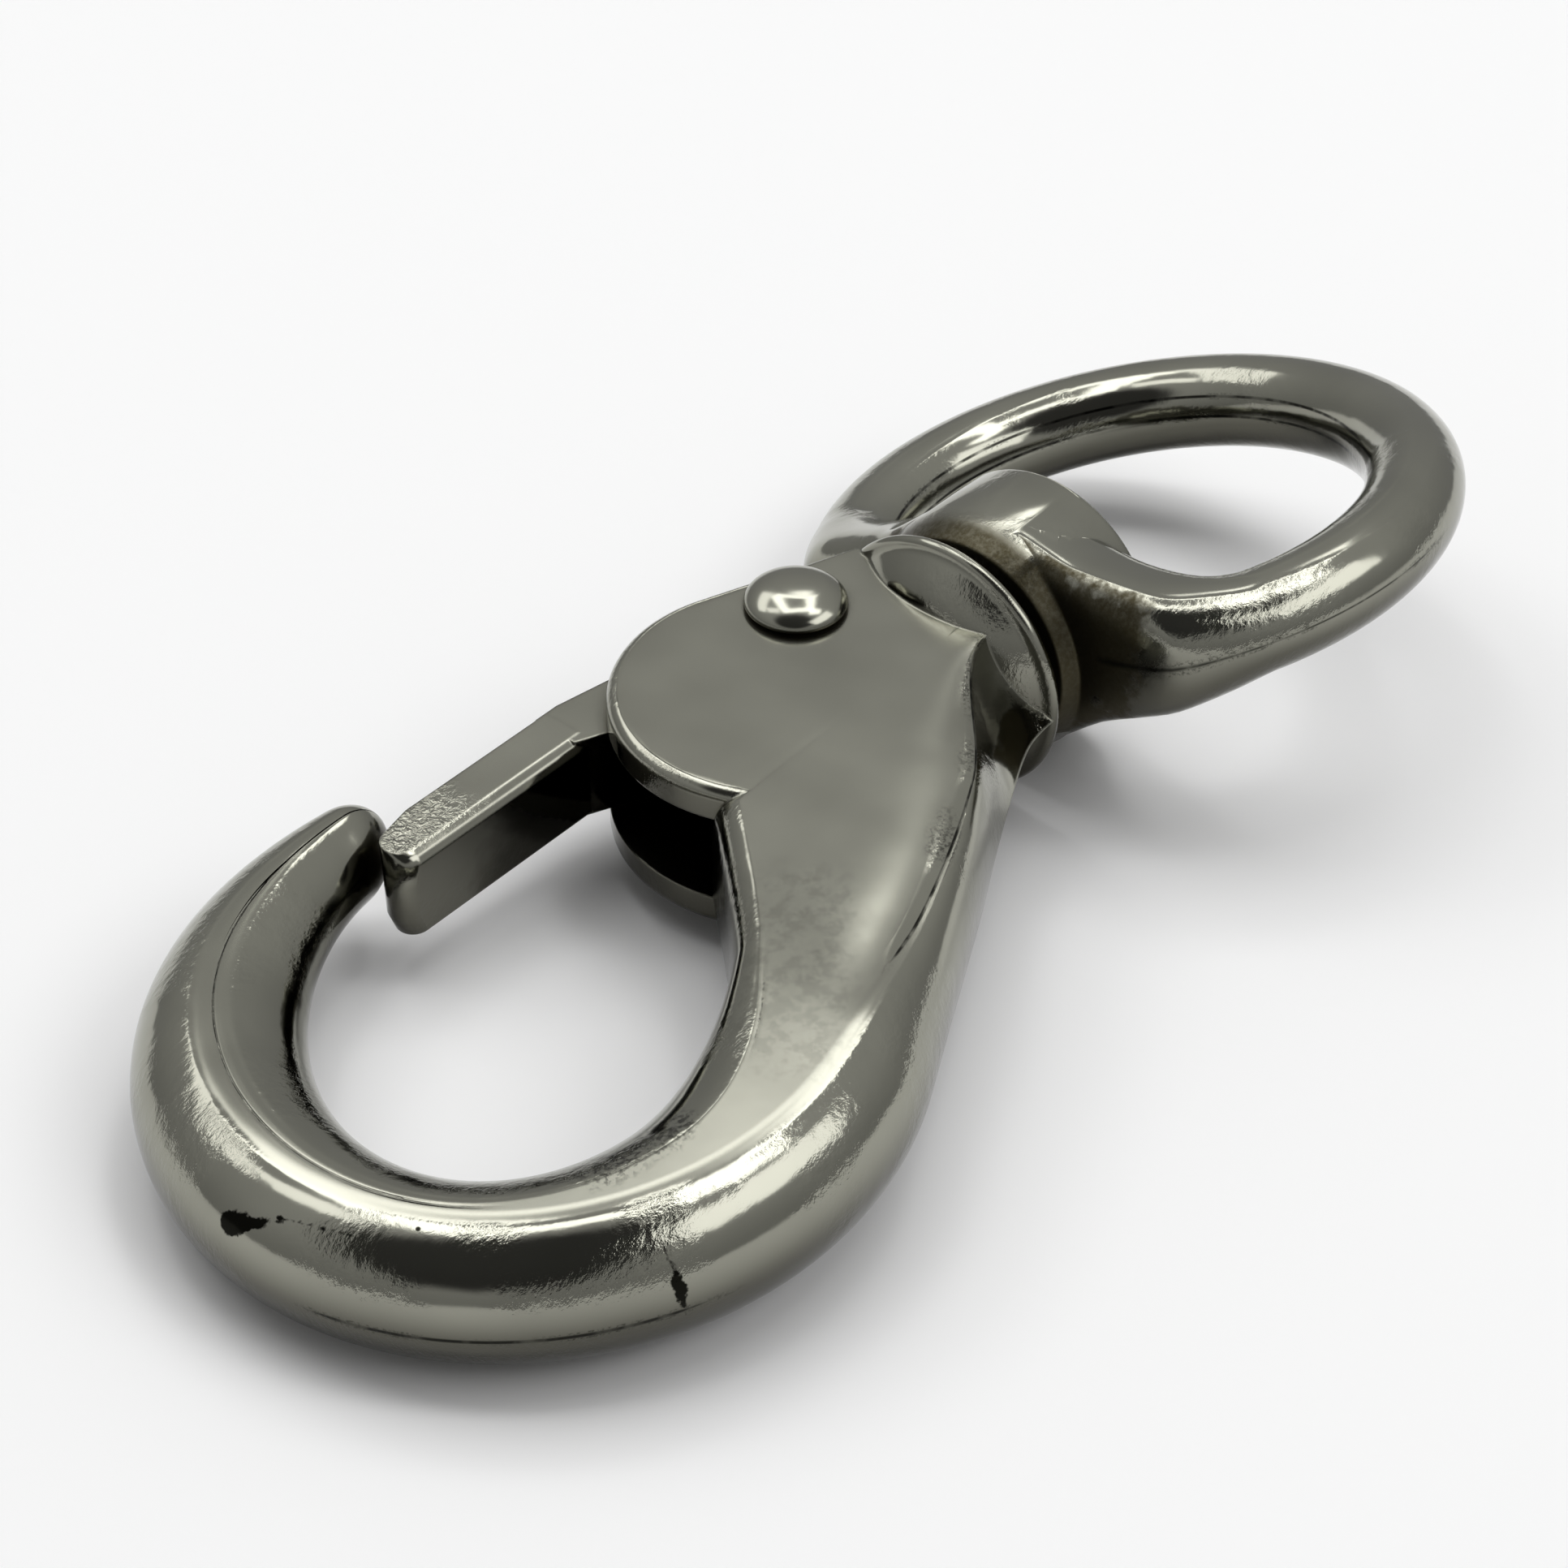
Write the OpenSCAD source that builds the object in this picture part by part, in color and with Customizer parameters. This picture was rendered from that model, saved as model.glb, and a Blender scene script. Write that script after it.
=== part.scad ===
// Swivel snap hook: a cast hook body with a sprung, riveted gate and a round eye that turns on a stud.
// Hook frame: X runs along the swivel axis towards the eye, with x = 0 at the front face of the collar.
// Y points to the gate side, Z is square to the flat cheeks, and z = 0 is the mould's parting plane.
// The finished parts are laid down as the snap comes to rest: on the collar's rim and the back of the bow.

/* [Collar and swivel] */
// Radius of the collar's rim
collar_r = 9.8; // [9:0.1:11]
// Width of the bright band round the rim
rim_band_w = 0.8; // [0.4:0.1:1.2]
// How far the collar stands behind its front face at the level of the cheeks
flare_depth = 3.1; // [2.6:0.1:4]
// Gap between the collar and the eye's hub
swivel_gap = 2; // [1:0.1:2.4]
// Radius of the eye's hub
hub_r = 9.3; // [8.4:0.1:9.4]
// Length of the eye's hub
hub_l = 9.5; // [8:0.1:11]
// Length of the slope round the hub's front edge
hub_front_slope = 2; // [1:0.1:3]
// Depth of that slope
hub_front_drop = 0.9; // [0.6:0.1:2.4]
// How far the legs' skin lies inside the hub's round
leg_inset = 0.6; // [0.3:0.1:1.2]
// How far the legs stand out over the ring's outline at the hub
leg_outset = 0.7; // [0.3:0.1:1.4]
// Growth of the legs' half thickness towards the hub
leg_swell = 3.8; // [2:0.1:4.5]
// How that growth falls off, from straight at 1 to hollow at 2
leg_hollow = 1.2; // [1:0.1:2.2]
// Radius of the fillets between the hub's rear face and its legs
leg_fillet = 1.2; // [0.6:0.1:3]
// Rounding between the front face of the legs and the ring's outline
leg_round = 1.5; // [0.4:0.1:2]
// Angle from the swivel axis at which the legs reach their plain round section
hub_spread = 62; // [50:1:70]
// Radius of the swivel stud's shank
stud_r = 2.6; // [2.2:0.1:2.8]
// Radius of the stud's domed head inside the eye
stud_head_r = 5.2; // [4.5:0.1:6]
// Height of the stud's domed head
stud_head_h = 2.2; // [1.5:0.1:3]
// Radius of the stud's upset tail in the body
stud_tail_r = 3.4; // [3:0.1:3.4]
// Thickness of the stud's upset tail
stud_tail_h = 1.6; // [1.2:0.1:2]
// Radial running clearance of the stud and the rivet in their turning parts
run_clear = 0.06; // [0.03:0.01:0.09]

/* [Eye] */
// Radius of the eye's centre line
eye_ring_r = 20.9; // [19:0.1:23]
// Radius of the eye's round section
eye_bar_r = 3.6; // [3:0.1:4.2]
// Distance of the eye's centre from the collar's front face
eye_centre_x = 21.2; // [20:0.1:24]
// Roll of the eye on its stud, gate side down
eye_roll = 17.7; // [0:0.1:22]

/* [Body] */
// Half thickness over the flat cheeks
cheek_half = 5.9; // [5.4:0.1:6.4]
// Half width of the slot between the cheeks
slot_half = 3.45; // [3.3:0.05:3.7]
// Radius of the rounded lobe of the cheeks
lobe_r = 11.4; // [11:0.1:12]
// Lobe centre, distance behind the collar's front face
lobe_back = 15.9; // [15:0.1:17]
// Lobe centre, offset to the gate side
lobe_side = 2.25; // [1.8:0.05:2.8]
// Rounding of the cheeks' edges
cheek_edge = 0.9; // [0.5:0.1:1.2]
// Rivet axis, distance behind the collar's front face
pivot_back = 8.3; // [8:0.1:9]
// Rivet axis, offset to the gate side
pivot_side = 7.1; // [6.8:0.1:7.6]

/* [Bow] */
// Distance of the throat's centre behind the collar's front face
throat_back = 43.6; // [42:0.1:46]
// Offset of the throat's centre to the spine side
throat_side = 0.8; // [0:0.1:2]
// Long half axis of the oval throat
throat_long = 17.8; // [16.5:0.1:19]
// Short half axis of the oval throat
throat_short = 13.1; // [12:0.1:14]
// Direction of the throat's long axis, from the swivel axis
throat_turn = 33; // [25:1:45]
// Half length of the bow's oval outline
bow_half_l = 25.5; // [24:0.1:27]
// Half width of the bow's oval outline
bow_half_w = 24; // [23:0.1:25.4]
// Turn of the bow's oval outline from the swivel axis
bow_turn = -7.4; // [-12:0.1:0]
// Distance of the bow outline's centre behind the collar's front face
bow_back = 45.7; // [44:0.1:48]
// Offset of the bow outline's centre to the spine side
bow_side = 4.3; // [3.5:0.1:5.5]
// Half height of the bow at its far end
bow_half_h = 5.2; // [4.8:0.1:5.6]
// Half height of the hook's tip
tip_half_h = 3.7; // [3.6:0.1:4.6]
// Direction of the rounded end of the tip, seen from the middle of the bow
tip_end_a = 73.2; // [70:0.2:78]

/* [Gate] */
// Thickness of the gate's tongue
gate_t = 4; // [3.5:0.1:4.5]
// Offset of the tongue's inner face from the swivel axis
gate_inner_y = 10.2; // [9.8:0.1:10.6]
// Half height of the gate's tongue
gate_half_h = 3.35; // [3:0.05:3.4]
// Distance from the collar's front face to the tongue's end
gate_reach = 43.2; // [42.6:0.1:43.6]
// How far the tongue's end draws back above and below its middle
gate_nose = 0.5; // [0.2:0.1:1]
// Slant of the tongue's end face from the swivel axis
gate_end_a = 29; // [25:1:35]
// Radius of the rounded corners of the tongue's end
gate_end_r = 1.3; // [0.8:0.1:1.6]
// Distance from the collar's front face to the step where the tongue gets thinner
gate_step_back = 25.8; // [25:0.1:27]
// Depth of that step, on every side
gate_step = 0.4; // [0.2:0.05:0.6]
// Bevel along the tongue's upper inner edge
gate_bevel = 0.7; // [0.3:0.1:1]
// Radius of the gate's pivot boss
gate_boss_r = 4.2; // [3.8:0.1:4.4]
// Clearance of the gate's end from the seat in the tip
gate_seat_clear = 0.1; // [0.05:0.05:0.2]

/* [Rivet and spring] */
// Radius of the gate rivet's shank
rivet_r = 2.1; // [1.8:0.1:2.4]
// Radius of the rivet's heads
rivet_head_r = 3.6; // [3.2:0.1:4]
// Height of the rivet's heads
rivet_head_h = 1.9; // [1.4:0.1:2.4]
// Radius of the spring's wire
wire_r = 0.4; // [0.3:0.05:0.5]
// Number of turns of the spring
spring_turns = 3; // [2:1:3]
// Length of the spring's legs
spring_leg = 8; // [6:0.5:9]

/* [Hidden] */
$fn = 64;
nickel = [0.72, 0.71, 0.67];
steel = [0.62, 0.62, 0.60];

throat_c = [-throat_back, -throat_side];
bow_c = [-bow_back, -bow_side];
lobe_c = [-lobe_back, lobe_side];
pivot = [-pivot_back, pivot_side];

// how far a turned oval reaches along the axis of its first half width
function oval_reach(u, v, turn) = sqrt(pow(u * cos(turn), 2) + pow(v * sin(turn), 2));

// how the snap lies: pitched until the collar and the far end of the bow both touch the ground
bow_end_x = bow_c[0] - oval_reach(bow_half_l, bow_half_w, bow_turn);
bow_end_y = bow_c[1] - oval_reach(bow_half_w, bow_half_l, bow_turn);
lie_run = -bow_end_x - bow_half_h;
pitch = asin((collar_r - bow_half_h) / lie_run);
lie_lift = collar_r * cos(pitch);
eye_end_x = eye_centre_x + eye_ring_r + eye_bar_r;
eye_half_w = eye_ring_r * cos(eye_roll) + eye_bar_r;
mid_x = (bow_end_x + eye_end_x) / 2 * cos(pitch);
mid_y = (eye_half_w + bow_end_y) / 2;

// Lays a piece of the hook frame down on the ground.
module lying() {
    translate([-mid_x, -mid_y, lie_lift])
        rotate([0, -pitch, 0])
            children();
}

// ---- hook body: a loft of cross sections from the tip of the hook to the collar ----

fan_c = (throat_c + bow_c) / 2;
tip_round_a = 9.8;
wall_a = 313;
wall_bend_l = 2;
spine_p = [-6, -10.9];
spine_at_rim = collar_r - 0.2;
spine_corner_x = -18.3;
wall_corner = [lobe_c[0] - lobe_r + 0.2, -1.9];
neck_inner = [-0.5, -1];

function dir(a) = [cos(a), sin(a)];
function turned(p, a) = [p[0] * cos(a) - p[1] * sin(a), p[0] * sin(a) + p[1] * cos(a)];
function mix(a, b, t) = a + (b - a) * t;
function ramp(x, x0, x1) = min(1, max(0, (x - x0) / (x1 - x0)));
function ease(x, x0, x1) = let(t = ramp(x, x0, x1)) t * t * (3 - 2 * t);

// distance from the fan's centre to an oval
function oval_ray(a, c, u, v, turn) =
    let(
        d = turned(dir(a), -turn), o = turned(fan_c - c, -turn),
        qa = pow(d[0] / u, 2) + pow(d[1] / v, 2),
        qb = d[0] * o[0] / (u * u) + d[1] * o[1] / (v * v),
        qc = pow(o[0] / u, 2) + pow(o[1] / v, 2) - 1
    )
    (-qb + sqrt(qb * qb - qa * qc)) / qa;
function throat_ray(a) = oval_ray(a, throat_c, throat_long, throat_short, throat_turn);
function bow_ray(a) = oval_ray(a, bow_c, bow_half_l, bow_half_w, bow_turn);
// the straight back of the spine, tangent to the bow's outline
spine_q = turned(spine_p - bow_c, -bow_turn);
spine_u = [spine_q[0] / bow_half_l, spine_q[1] / bow_half_w];
spine_touch_t = atan2(spine_u[1], spine_u[0]) - acos(1 / norm(spine_u));
spine_touch = bow_c + turned([bow_half_l * cos(spine_touch_t), bow_half_w * sin(spine_touch_t)], bow_turn);
spine_slope = (spine_touch[1] - spine_p[1]) / (spine_touch[0] - spine_p[0]);
spine_ray_a = atan2(spine_touch[1] - fan_c[1], spine_touch[0] - fan_c[0]) + 360;
function spine_ray(a) =
    let(d = dir(a))
    (spine_p[1] + spine_slope * (fan_c[0] - spine_p[0]) - fan_c[1]) / (d[1] - spine_slope * d[0]);
// the back of the spine, blended into the collar's rim
function spine_y(x) =
    let(line = -spine_p[1] - spine_slope * (x - spine_p[0]))
    -(line + spine_at_rim) / 2 - sqrt(pow((line - spine_at_rim) / 2, 2) + 0.25);

// plan points of the sections: [inner point, outer point, place along the hook]
function ray_plan(a) = [
    fan_c + throat_ray(a) * dir(a),
    fan_c + (a > spine_ray_a ? spine_ray(a) : bow_ray(a)) * dir(a),
    a
];
wall_low = ray_plan(wall_a);
// the wall runs on from the throat's curve, then bends gently to its corner under the lobe
wall_run = wall_low[0] - ray_plan(wall_a - 2)[0];
wall_bend = wall_low[0] + wall_bend_l * wall_run / norm(wall_run);
function wall_inner(t) = mix(mix(wall_low[0], wall_bend, t), mix(wall_bend, wall_corner, t), t);
wall_plans = [for (i = [1:4])
    let(t = i / 4, x = mix(wall_low[1][0], spine_corner_x, t))
    [wall_inner(t), [x, spine_y(x)], wall_a + 20 * t]];
neck_plans = [for (i = [1:9])
    let(t = i / 9, x = mix(spine_corner_x, neck_inner[0], t))
    [mix(wall_corner, neck_inner, t), [x, spine_y(x)], wall_a + 20 + 30 * t]];

// size of the section at a place along the hook
function half_h(a) =
    a > 180 ? mix(bow_half_h, cheek_half, ease(a, 200, 308)) : mix(tip_half_h, bow_half_h, ease(a, 82, 180));
// the inner side: its width, and how square it is (2 is an ellipse)
function bevel_w(a) = mix(5, 1.8, ease(a, 250, 318)) * mix(0.64, 1, ease(a, 74, 150));
function bevel_n(a) = mix(2, 4.5, ease(a, 246, 320));
// the outer side: its width, and its form (1 is an ellipse, more is hollow)
function round_w(a) =
    mix(5.2, 1.9, ease(a, 280, 340)) * mix(0.64, 1, ease(a, 74, 160)) + 3.3 * ease(a, 341, 363);
function round_e(a) = mix(1, 2.3, ease(a, 332, 356));

crease_a = 62;
bevel_steps = 5;
round_steps = 7;
// upper half of a section as [distance from the inner point, z]
function upper_half(a, w) =
    let(
        fit = min(1, (w - 0.2) / (bevel_w(a) + round_w(a))), h = half_h(a),
        bw = fit * bevel_w(a), rw = fit * round_w(a), e = round_e(a), f = 2 / bevel_n(a),
        bu = bw / (1 - pow(cos(crease_a), f)), bv = h / pow(sin(crease_a), f)
    )
    concat(
        [for (i = [0.5:1:bevel_steps])
            let(t = crease_a * i / (bevel_steps - 0.5))
            [bu * (1 - pow(cos(t), f)), bv * pow(sin(t), f)]],
        [for (i = [0:round_steps])
            let(t = 90 * i / round_steps)
            [w - rw + rw * pow(sin(t), e), h * pow(cos(t), e)]]
    );
// whole section ring, shrunk towards its middle by k for the rounded end of the tip
function section(plan, k) =
    let(
        w = norm(plan[1] - plan[0]), u = (plan[1] - plan[0]) / w,
        up = upper_half(plan[2], w), n = len(up),
        ring = concat(up, [for (i = [n - 2:-1:0]) [up[i][0], -up[i][1]]])
    )
    [for (p = ring)
        let(q = plan[0] + (w / 2 + (p[0] - w / 2) * k) * u)
        [q[0], q[1], p[1] * k]];

tip_k = [0.22, 0.5, 0.72, 0.87, 0.96];
tip_sections = [for (k = tip_k) section(ray_plan(tip_end_a + tip_round_a * (1 - sqrt(1 - k * k))), k)];
bow_sections = [for (a = [tip_end_a + tip_round_a : 6 : wall_a]) section(ray_plan(a), 1)];
body_sections = [for (p = concat(wall_plans, neck_plans)) section(p, 1)];

// Solid through a list of rings with equal numbers of points, round into a loop or with two flat ends.
module loft(rings, looped = false) {
    n = len(rings);
    m = len(rings[0]);
    side = [for (i = [0:n - (looped ? 1 : 2)], j = [0:m - 1])
        let(k = (j + 1) % m, a = i * m, b = ((i + 1) % n) * m)
        each [[a + j, b + k, a + k], [a + j, b + j, b + k]]];
    first = [for (j = [0:m - 1]) j];
    last = [for (j = [m - 1:-1:0]) (n - 1) * m + j];
    faces = looped ? side : concat([first], side, [last]);
    polyhedron(points = [for (r = rings) each r], faces = faces, convexity = 6);
}

module bow_and_spine() {
    loft(concat(tip_sections, bow_sections, body_sections));
}

// Flat disc with rounded rims, the form of the cheeks' lobe.
module pad(r, half_t, edge) {
    rotate_extrude()
        hull() {
            translate([0, -half_t])
                square([r - edge, 2 * half_t]);
            translate([0, edge - half_t])
                square([r, 2 * (half_t - edge)]);
        }
}

module cheeks() {
    hull() {
        translate([lobe_c[0], lobe_c[1], 0])
            pad(lobe_r, cheek_half, cheek_edge);
        translate([-1, -3, -cheek_half])
            cube([0.6, 11.1, 2 * cheek_half]);
        translate([-1, -3, -cheek_half + 1.6])
            cube([0.6, 11.9, 2 * cheek_half - 3.2]);
    }
}

// Collar: a flared body of revolution that ends in a bright rim band.
module collar() {
    rotate([0, 90, 0])
        rotate_extrude()
            polygon([
                [0, -flare_depth - 4],
                [cheek_half - 0.6, -flare_depth - 4],
                [cheek_half - 0.2, -flare_depth],
                [cheek_half + 1.4, -flare_depth + 0.75],
                [collar_r - 1.6, -rim_band_w - 0.75],
                [collar_r - 0.4, -rim_band_w],
                [collar_r, -0.2],
                [collar_r - 0.3, 0],
                [0, 0]
            ]);
}

boss_room = gate_boss_r + 0.5;
tail_room_x = -flare_depth + 0.2;
module slot_plan() {
    polygon([
        wall_corner + [0.4, 0.2],
        [lobe_c[0] + 2, -2.6],
        [pivot[0] - 2, -stud_tail_r - 0.6],
        [tail_room_x, -stud_tail_r - 0.6],
        [tail_room_x, pivot[1]],
        [pivot[0] + boss_room, pivot[1]],
        [pivot[0] + boss_room, lobe_c[1] + lobe_r + 4],
        [wall_corner[0] - 3, lobe_c[1] + lobe_r + 4],
        [wall_corner[0] - 3, wall_corner[1] + 0.2]
    ]);
    translate(pivot)
        circle(r = boss_room);
}

stud_seat_x = tail_room_x;
module hook_body() {
    color(nickel)
        lying()
            difference() {
                union() {
                    bow_and_spine();
                    cheeks();
                    collar();
                }
                translate([0, 0, -slot_half])
                    linear_extrude(2 * slot_half)
                        slot_plan();
                translate([pivot[0], pivot[1], -cheek_half - 1])
                    cylinder(r = rivet_r, h = 2 * cheek_half + 2);
                translate([tail_room_x - 1, 0, 0])
                    rotate([0, 90, 0])
                        cylinder(r = stud_r, h = 8);
                gate_seat();
            }
}

// ---- gate ----

gate_y0 = gate_inner_y;
end_low = [gate_end_r - gate_reach, gate_y0 + gate_end_r];
end_rise = gate_t - 2 * gate_end_r;
end_high = end_low + [end_rise / tan(gate_end_a), end_rise];

// Room for the slanted end of the closed gate, cut from the tip.
module gate_seat() {
    translate([end_low[0], end_low[1], -cheek_half])
        rotate([0, 0, gate_end_a])
            translate([-gate_end_r, -2 * gate_t, 0])
                cube([3 * gate_t, 2 * gate_t + gate_end_r + gate_seat_clear, 2 * cheek_half]);
}

module tongue_plan(inset, drawn_back) {
    hull() {
        translate([end_low[0] + drawn_back, end_low[1] + inset])
            circle(r = gate_end_r, $fn = 32);
        translate([end_high[0] + drawn_back, end_high[1]])
            circle(r = gate_end_r, $fn = 32);
        translate([-gate_step_back - 1, gate_y0 + inset])
            square([1, gate_t - inset]);
    }
}

module tang_plan() {
    hull() {
        translate(pivot)
            circle(r = gate_boss_r);
        translate([-gate_step_back, gate_y0 + gate_step])
            square([1, gate_t - 2 * gate_step]);
    }
}

coil_step = 2 * wire_r + 0.06;
coil_r = rivet_r + run_clear + 0.1 + wire_r;
coil_h = coil_step * spring_turns;
tang_a = 180 - atan((gate_y0 + gate_t / 2 - pivot[1]) / (gate_step_back - pivot_back));
module gate() {
    color(nickel)
        lying()
            difference() {
                union() {
                    hull() {
                        translate([0, 0, -gate_half_h])
                            linear_extrude(gate_half_h)
                                tongue_plan(0, gate_nose);
                        translate([0, 0, -gate_half_h / 2])
                            linear_extrude(gate_half_h - gate_bevel)
                                tongue_plan(0, 0);
                        linear_extrude(gate_half_h - gate_bevel)
                            tongue_plan(0, gate_nose);
                        linear_extrude(gate_half_h)
                            tongue_plan(gate_bevel, gate_nose);
                    }
                    translate([0, 0, gate_step - gate_half_h])
                        linear_extrude(2 * (gate_half_h - gate_step))
                            tang_plan();
                }
                translate([pivot[0], pivot[1], -gate_half_h])
                    cylinder(r = rivet_r + run_clear, h = 2 * gate_half_h);
                spring_room();
            }
}

// Recess in the pivot boss for the coil and the two legs of the spring.
module spring_room() {
    h = coil_h + 2 * wire_r + 0.3;
    translate([pivot[0], pivot[1], -h / 2]) {
        cylinder(r = coil_r + wire_r + 0.3, h = h);
        rotate([0, 0, tang_a])
            translate([-gate_boss_r - 0.3, coil_r - wire_r - 0.02, 0])
                cube([gate_boss_r + spring_leg + 1, 5, h]);
    }
}

// ---- rivet, spring, eye and stud ----

module gate_rivet() {
    shank = cheek_half;
    dome_r = (pow(rivet_head_r, 2) + pow(rivet_head_h - 0.4, 2)) / (2 * (rivet_head_h - 0.4));
    color(nickel)
        lying()
            translate([pivot[0], pivot[1], 0]) {
                translate([0, 0, -shank])
                    cylinder(r = rivet_r, h = 2 * shank);
                for (s = [0, 1])
                    mirror([0, 0, s])
                        translate([0, 0, shank]) {
                            cylinder(r = rivet_head_r, h = 0.4);
                            intersection() {
                                translate([0, 0, rivet_head_h - dome_r])
                                    sphere(r = dome_r);
                                cylinder(r = rivet_head_r, h = rivet_head_h);
                            }
                        }
            }
}

// wire path: a leg along the gate, the turns round the rivet, then a leg down to the stud's tail
leg_b_a = 225;
leg_b_l = (stud_seat_x - stud_tail_h - 0.32 - pivot[0] - coil_r * cos(leg_b_a)) / cos(leg_b_a + 90);
coil_a0 = tang_a + 90;
coil_a1 = leg_b_a + 360 * spring_turns;
function coil_p(a) =
    [coil_r * cos(a), coil_r * sin(a), coil_h * ((a - coil_a0) / (coil_a1 - coil_a0) - 0.5)];
coil_n = 16 * spring_turns;
coil_path = [for (i = [0:coil_n])
    let(a = mix(coil_a0, coil_a1, i / coil_n))
    [coil_p(a), [cos(a), sin(a)]]];
spring_path = concat(
    [[coil_p(coil_a0) + spring_leg * [cos(tang_a), sin(tang_a), 0], dir(coil_a0)]],
    coil_path,
    [[coil_p(coil_a1) + leg_b_l * [cos(leg_b_a + 90), sin(leg_b_a + 90), 0], dir(leg_b_a)]]
);
function wire_ring(p, u) =
    [for (i = [0:9]) let(t = 36 * i) p + wire_r * [-cos(t) * u[0], -cos(t) * u[1], sin(t)]];

module gate_spring() {
    color(steel)
        lying()
            translate([pivot[0], pivot[1], 0])
                loft([for (q = spring_path) wire_ring(q[0], q[1])]);
}

// sections of the eye on rays from its centre, a is the angle away from the hub
hub_front_x = swivel_gap;
hub_rear_x = swivel_gap + hub_l;
hub_edge = 0.5;
function soft_min(a, b, k) = (a + b) / 2 - sqrt(pow((a - b) / 2, 2) + k * k);
function soft_max(a, b, k) = (a + b) / 2 + sqrt(pow((a - b) / 2, 2) + k * k);
function leg(a) = pow(cos(min(a, hub_spread) * 90 / hub_spread), 2);
function eye_in(a) =
    a > 80 ? eye_ring_r - eye_bar_r
        : soft_min((eye_centre_x - hub_rear_x + leg_inset) / cos(a), eye_ring_r - eye_bar_r, leg_fillet * cos(a));
function eye_out(a) =
    let(ring = eye_ring_r + eye_bar_r + leg_outset * leg(a))
    a > 80 ? ring : soft_min((eye_centre_x - hub_front_x - hub_front_slope / 2) / cos(a), ring, leg_round * leg(a / 1.3));
function core(y) = sqrt(max(0, pow(hub_r - leg_inset, 2) - y * y));
function eye_half(a) =
    let(shank = eye_bar_r + leg_swell * pow(1 - ramp(a, 15, hub_spread), leg_hollow))
    a > hub_spread ? eye_bar_r : soft_max(a < 40 ? core(15.1 * tan(a)) : 0, shank, 1.2 * cos(a * 90 / hub_spread));
function eye_pow(a) = 2 / (2 + 3.5 * leg(a));
function signed_pow(v, e) = sign(v) * pow(abs(v), e);
function eye_ring(a, n) =
    let(
        b = min(a, 360 - a), ri = eye_in(b), ro = eye_out(b),
        h = eye_half(b), e = eye_pow(b)
    )
    [for (i = [0:n - 1])
        let(t = 360 * i / n, r = (ri + ro) / 2 - (ro - ri) / 2 * signed_pow(cos(t), e))
        [eye_centre_x - r * cos(a), -r * sin(a), h * signed_pow(sin(t), e)]];

module hub() {
    rotate([0, 90, 0])
        rotate_extrude($fn = 96)
            polygon([
                [0, hub_front_x],
                [hub_r - hub_front_drop, hub_front_x],
                [hub_r, hub_front_x + hub_front_slope],
                [hub_r, hub_rear_x - hub_edge],
                [hub_r - hub_edge, hub_rear_x],
                [0, hub_rear_x]
            ]);
}

module swivel_eye() {
    color(nickel)
        lying()
            rotate([-eye_roll, 0, 0])
                difference() {
                    union() {
                        loft([for (a = [0 : 6 : 354]) eye_ring(a, 20)], true);
                        hub();
                    }
                    translate([-1, 0, 0])
                        rotate([0, 90, 0])
                            cylinder(r = stud_r + run_clear, h = hub_rear_x + 3);
                }
}

module swivel_stud() {
    head_x = hub_rear_x + 0.1;
    dome_r = (pow(stud_head_r, 2) + pow(stud_head_h, 2)) / (2 * stud_head_h);
    color(steel)
        lying() {
            translate([stud_seat_x - stud_tail_h, 0, 0])
                rotate([0, 90, 0])
                    cylinder(r = stud_tail_r, h = stud_tail_h);
            translate([stud_seat_x, 0, 0])
                rotate([0, 90, 0])
                    cylinder(r = stud_r, h = head_x - stud_seat_x);
            intersection() {
                translate([head_x + stud_head_h - dome_r, 0, 0])
                    sphere(r = dome_r);
                translate([head_x, 0, 0])
                    rotate([0, 90, 0])
                        cylinder(r = stud_head_r, h = stud_head_h + 1);
            }
        }
}

hook_body();
gate();
gate_rivet();
gate_spring();
swivel_eye();
swivel_stud();
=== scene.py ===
"""Dresses the swivel snap hook: smooth castings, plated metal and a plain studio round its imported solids."""
import math

import bmesh
import bpy
import numpy as np
from mathutils import Matrix, Vector


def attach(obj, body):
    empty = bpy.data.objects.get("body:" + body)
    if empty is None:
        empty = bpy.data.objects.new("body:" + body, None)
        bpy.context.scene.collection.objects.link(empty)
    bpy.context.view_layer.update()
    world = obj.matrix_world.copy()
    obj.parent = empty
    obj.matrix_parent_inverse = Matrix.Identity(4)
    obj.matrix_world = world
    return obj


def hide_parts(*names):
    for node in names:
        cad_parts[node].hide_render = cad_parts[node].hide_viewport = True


bl_info = {
    "name": "Swivel snap hook",
    "version": (1, 0, 0),
    "blender": (4, 5, 0),
    "location": "View3D > Sidebar > Snap hook",
    "description": "Makes the castings, gate, spring, rivet and eye of a swivel snap hook, and its studio",
    "category": "Add Mesh",
}

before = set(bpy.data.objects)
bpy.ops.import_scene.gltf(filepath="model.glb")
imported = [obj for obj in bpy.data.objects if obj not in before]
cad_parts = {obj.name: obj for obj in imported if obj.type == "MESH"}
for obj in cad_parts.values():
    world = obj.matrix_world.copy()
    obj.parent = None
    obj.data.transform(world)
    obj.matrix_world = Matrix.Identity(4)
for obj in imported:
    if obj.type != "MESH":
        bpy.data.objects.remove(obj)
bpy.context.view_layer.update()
MM = 0.001
BEVEL_STEPS, CROWN_STEPS, ROUND_STEPS = 14, 12, 22  # points along the three parts of the bar's section
EYE_RINGS, EYE_STEPS = 180, 72
BEND_ANGLE = math.radians(32)  # edges sharper than this stay sharp
FLAT_AREA = 6e-6  # square metres; the edges of larger faces stay sharp too


def size(name, text, value):
    """A length in millimetres that a user may change."""
    return bpy.props.FloatProperty(name=name, description=text, default=value, min=0.0)


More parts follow.
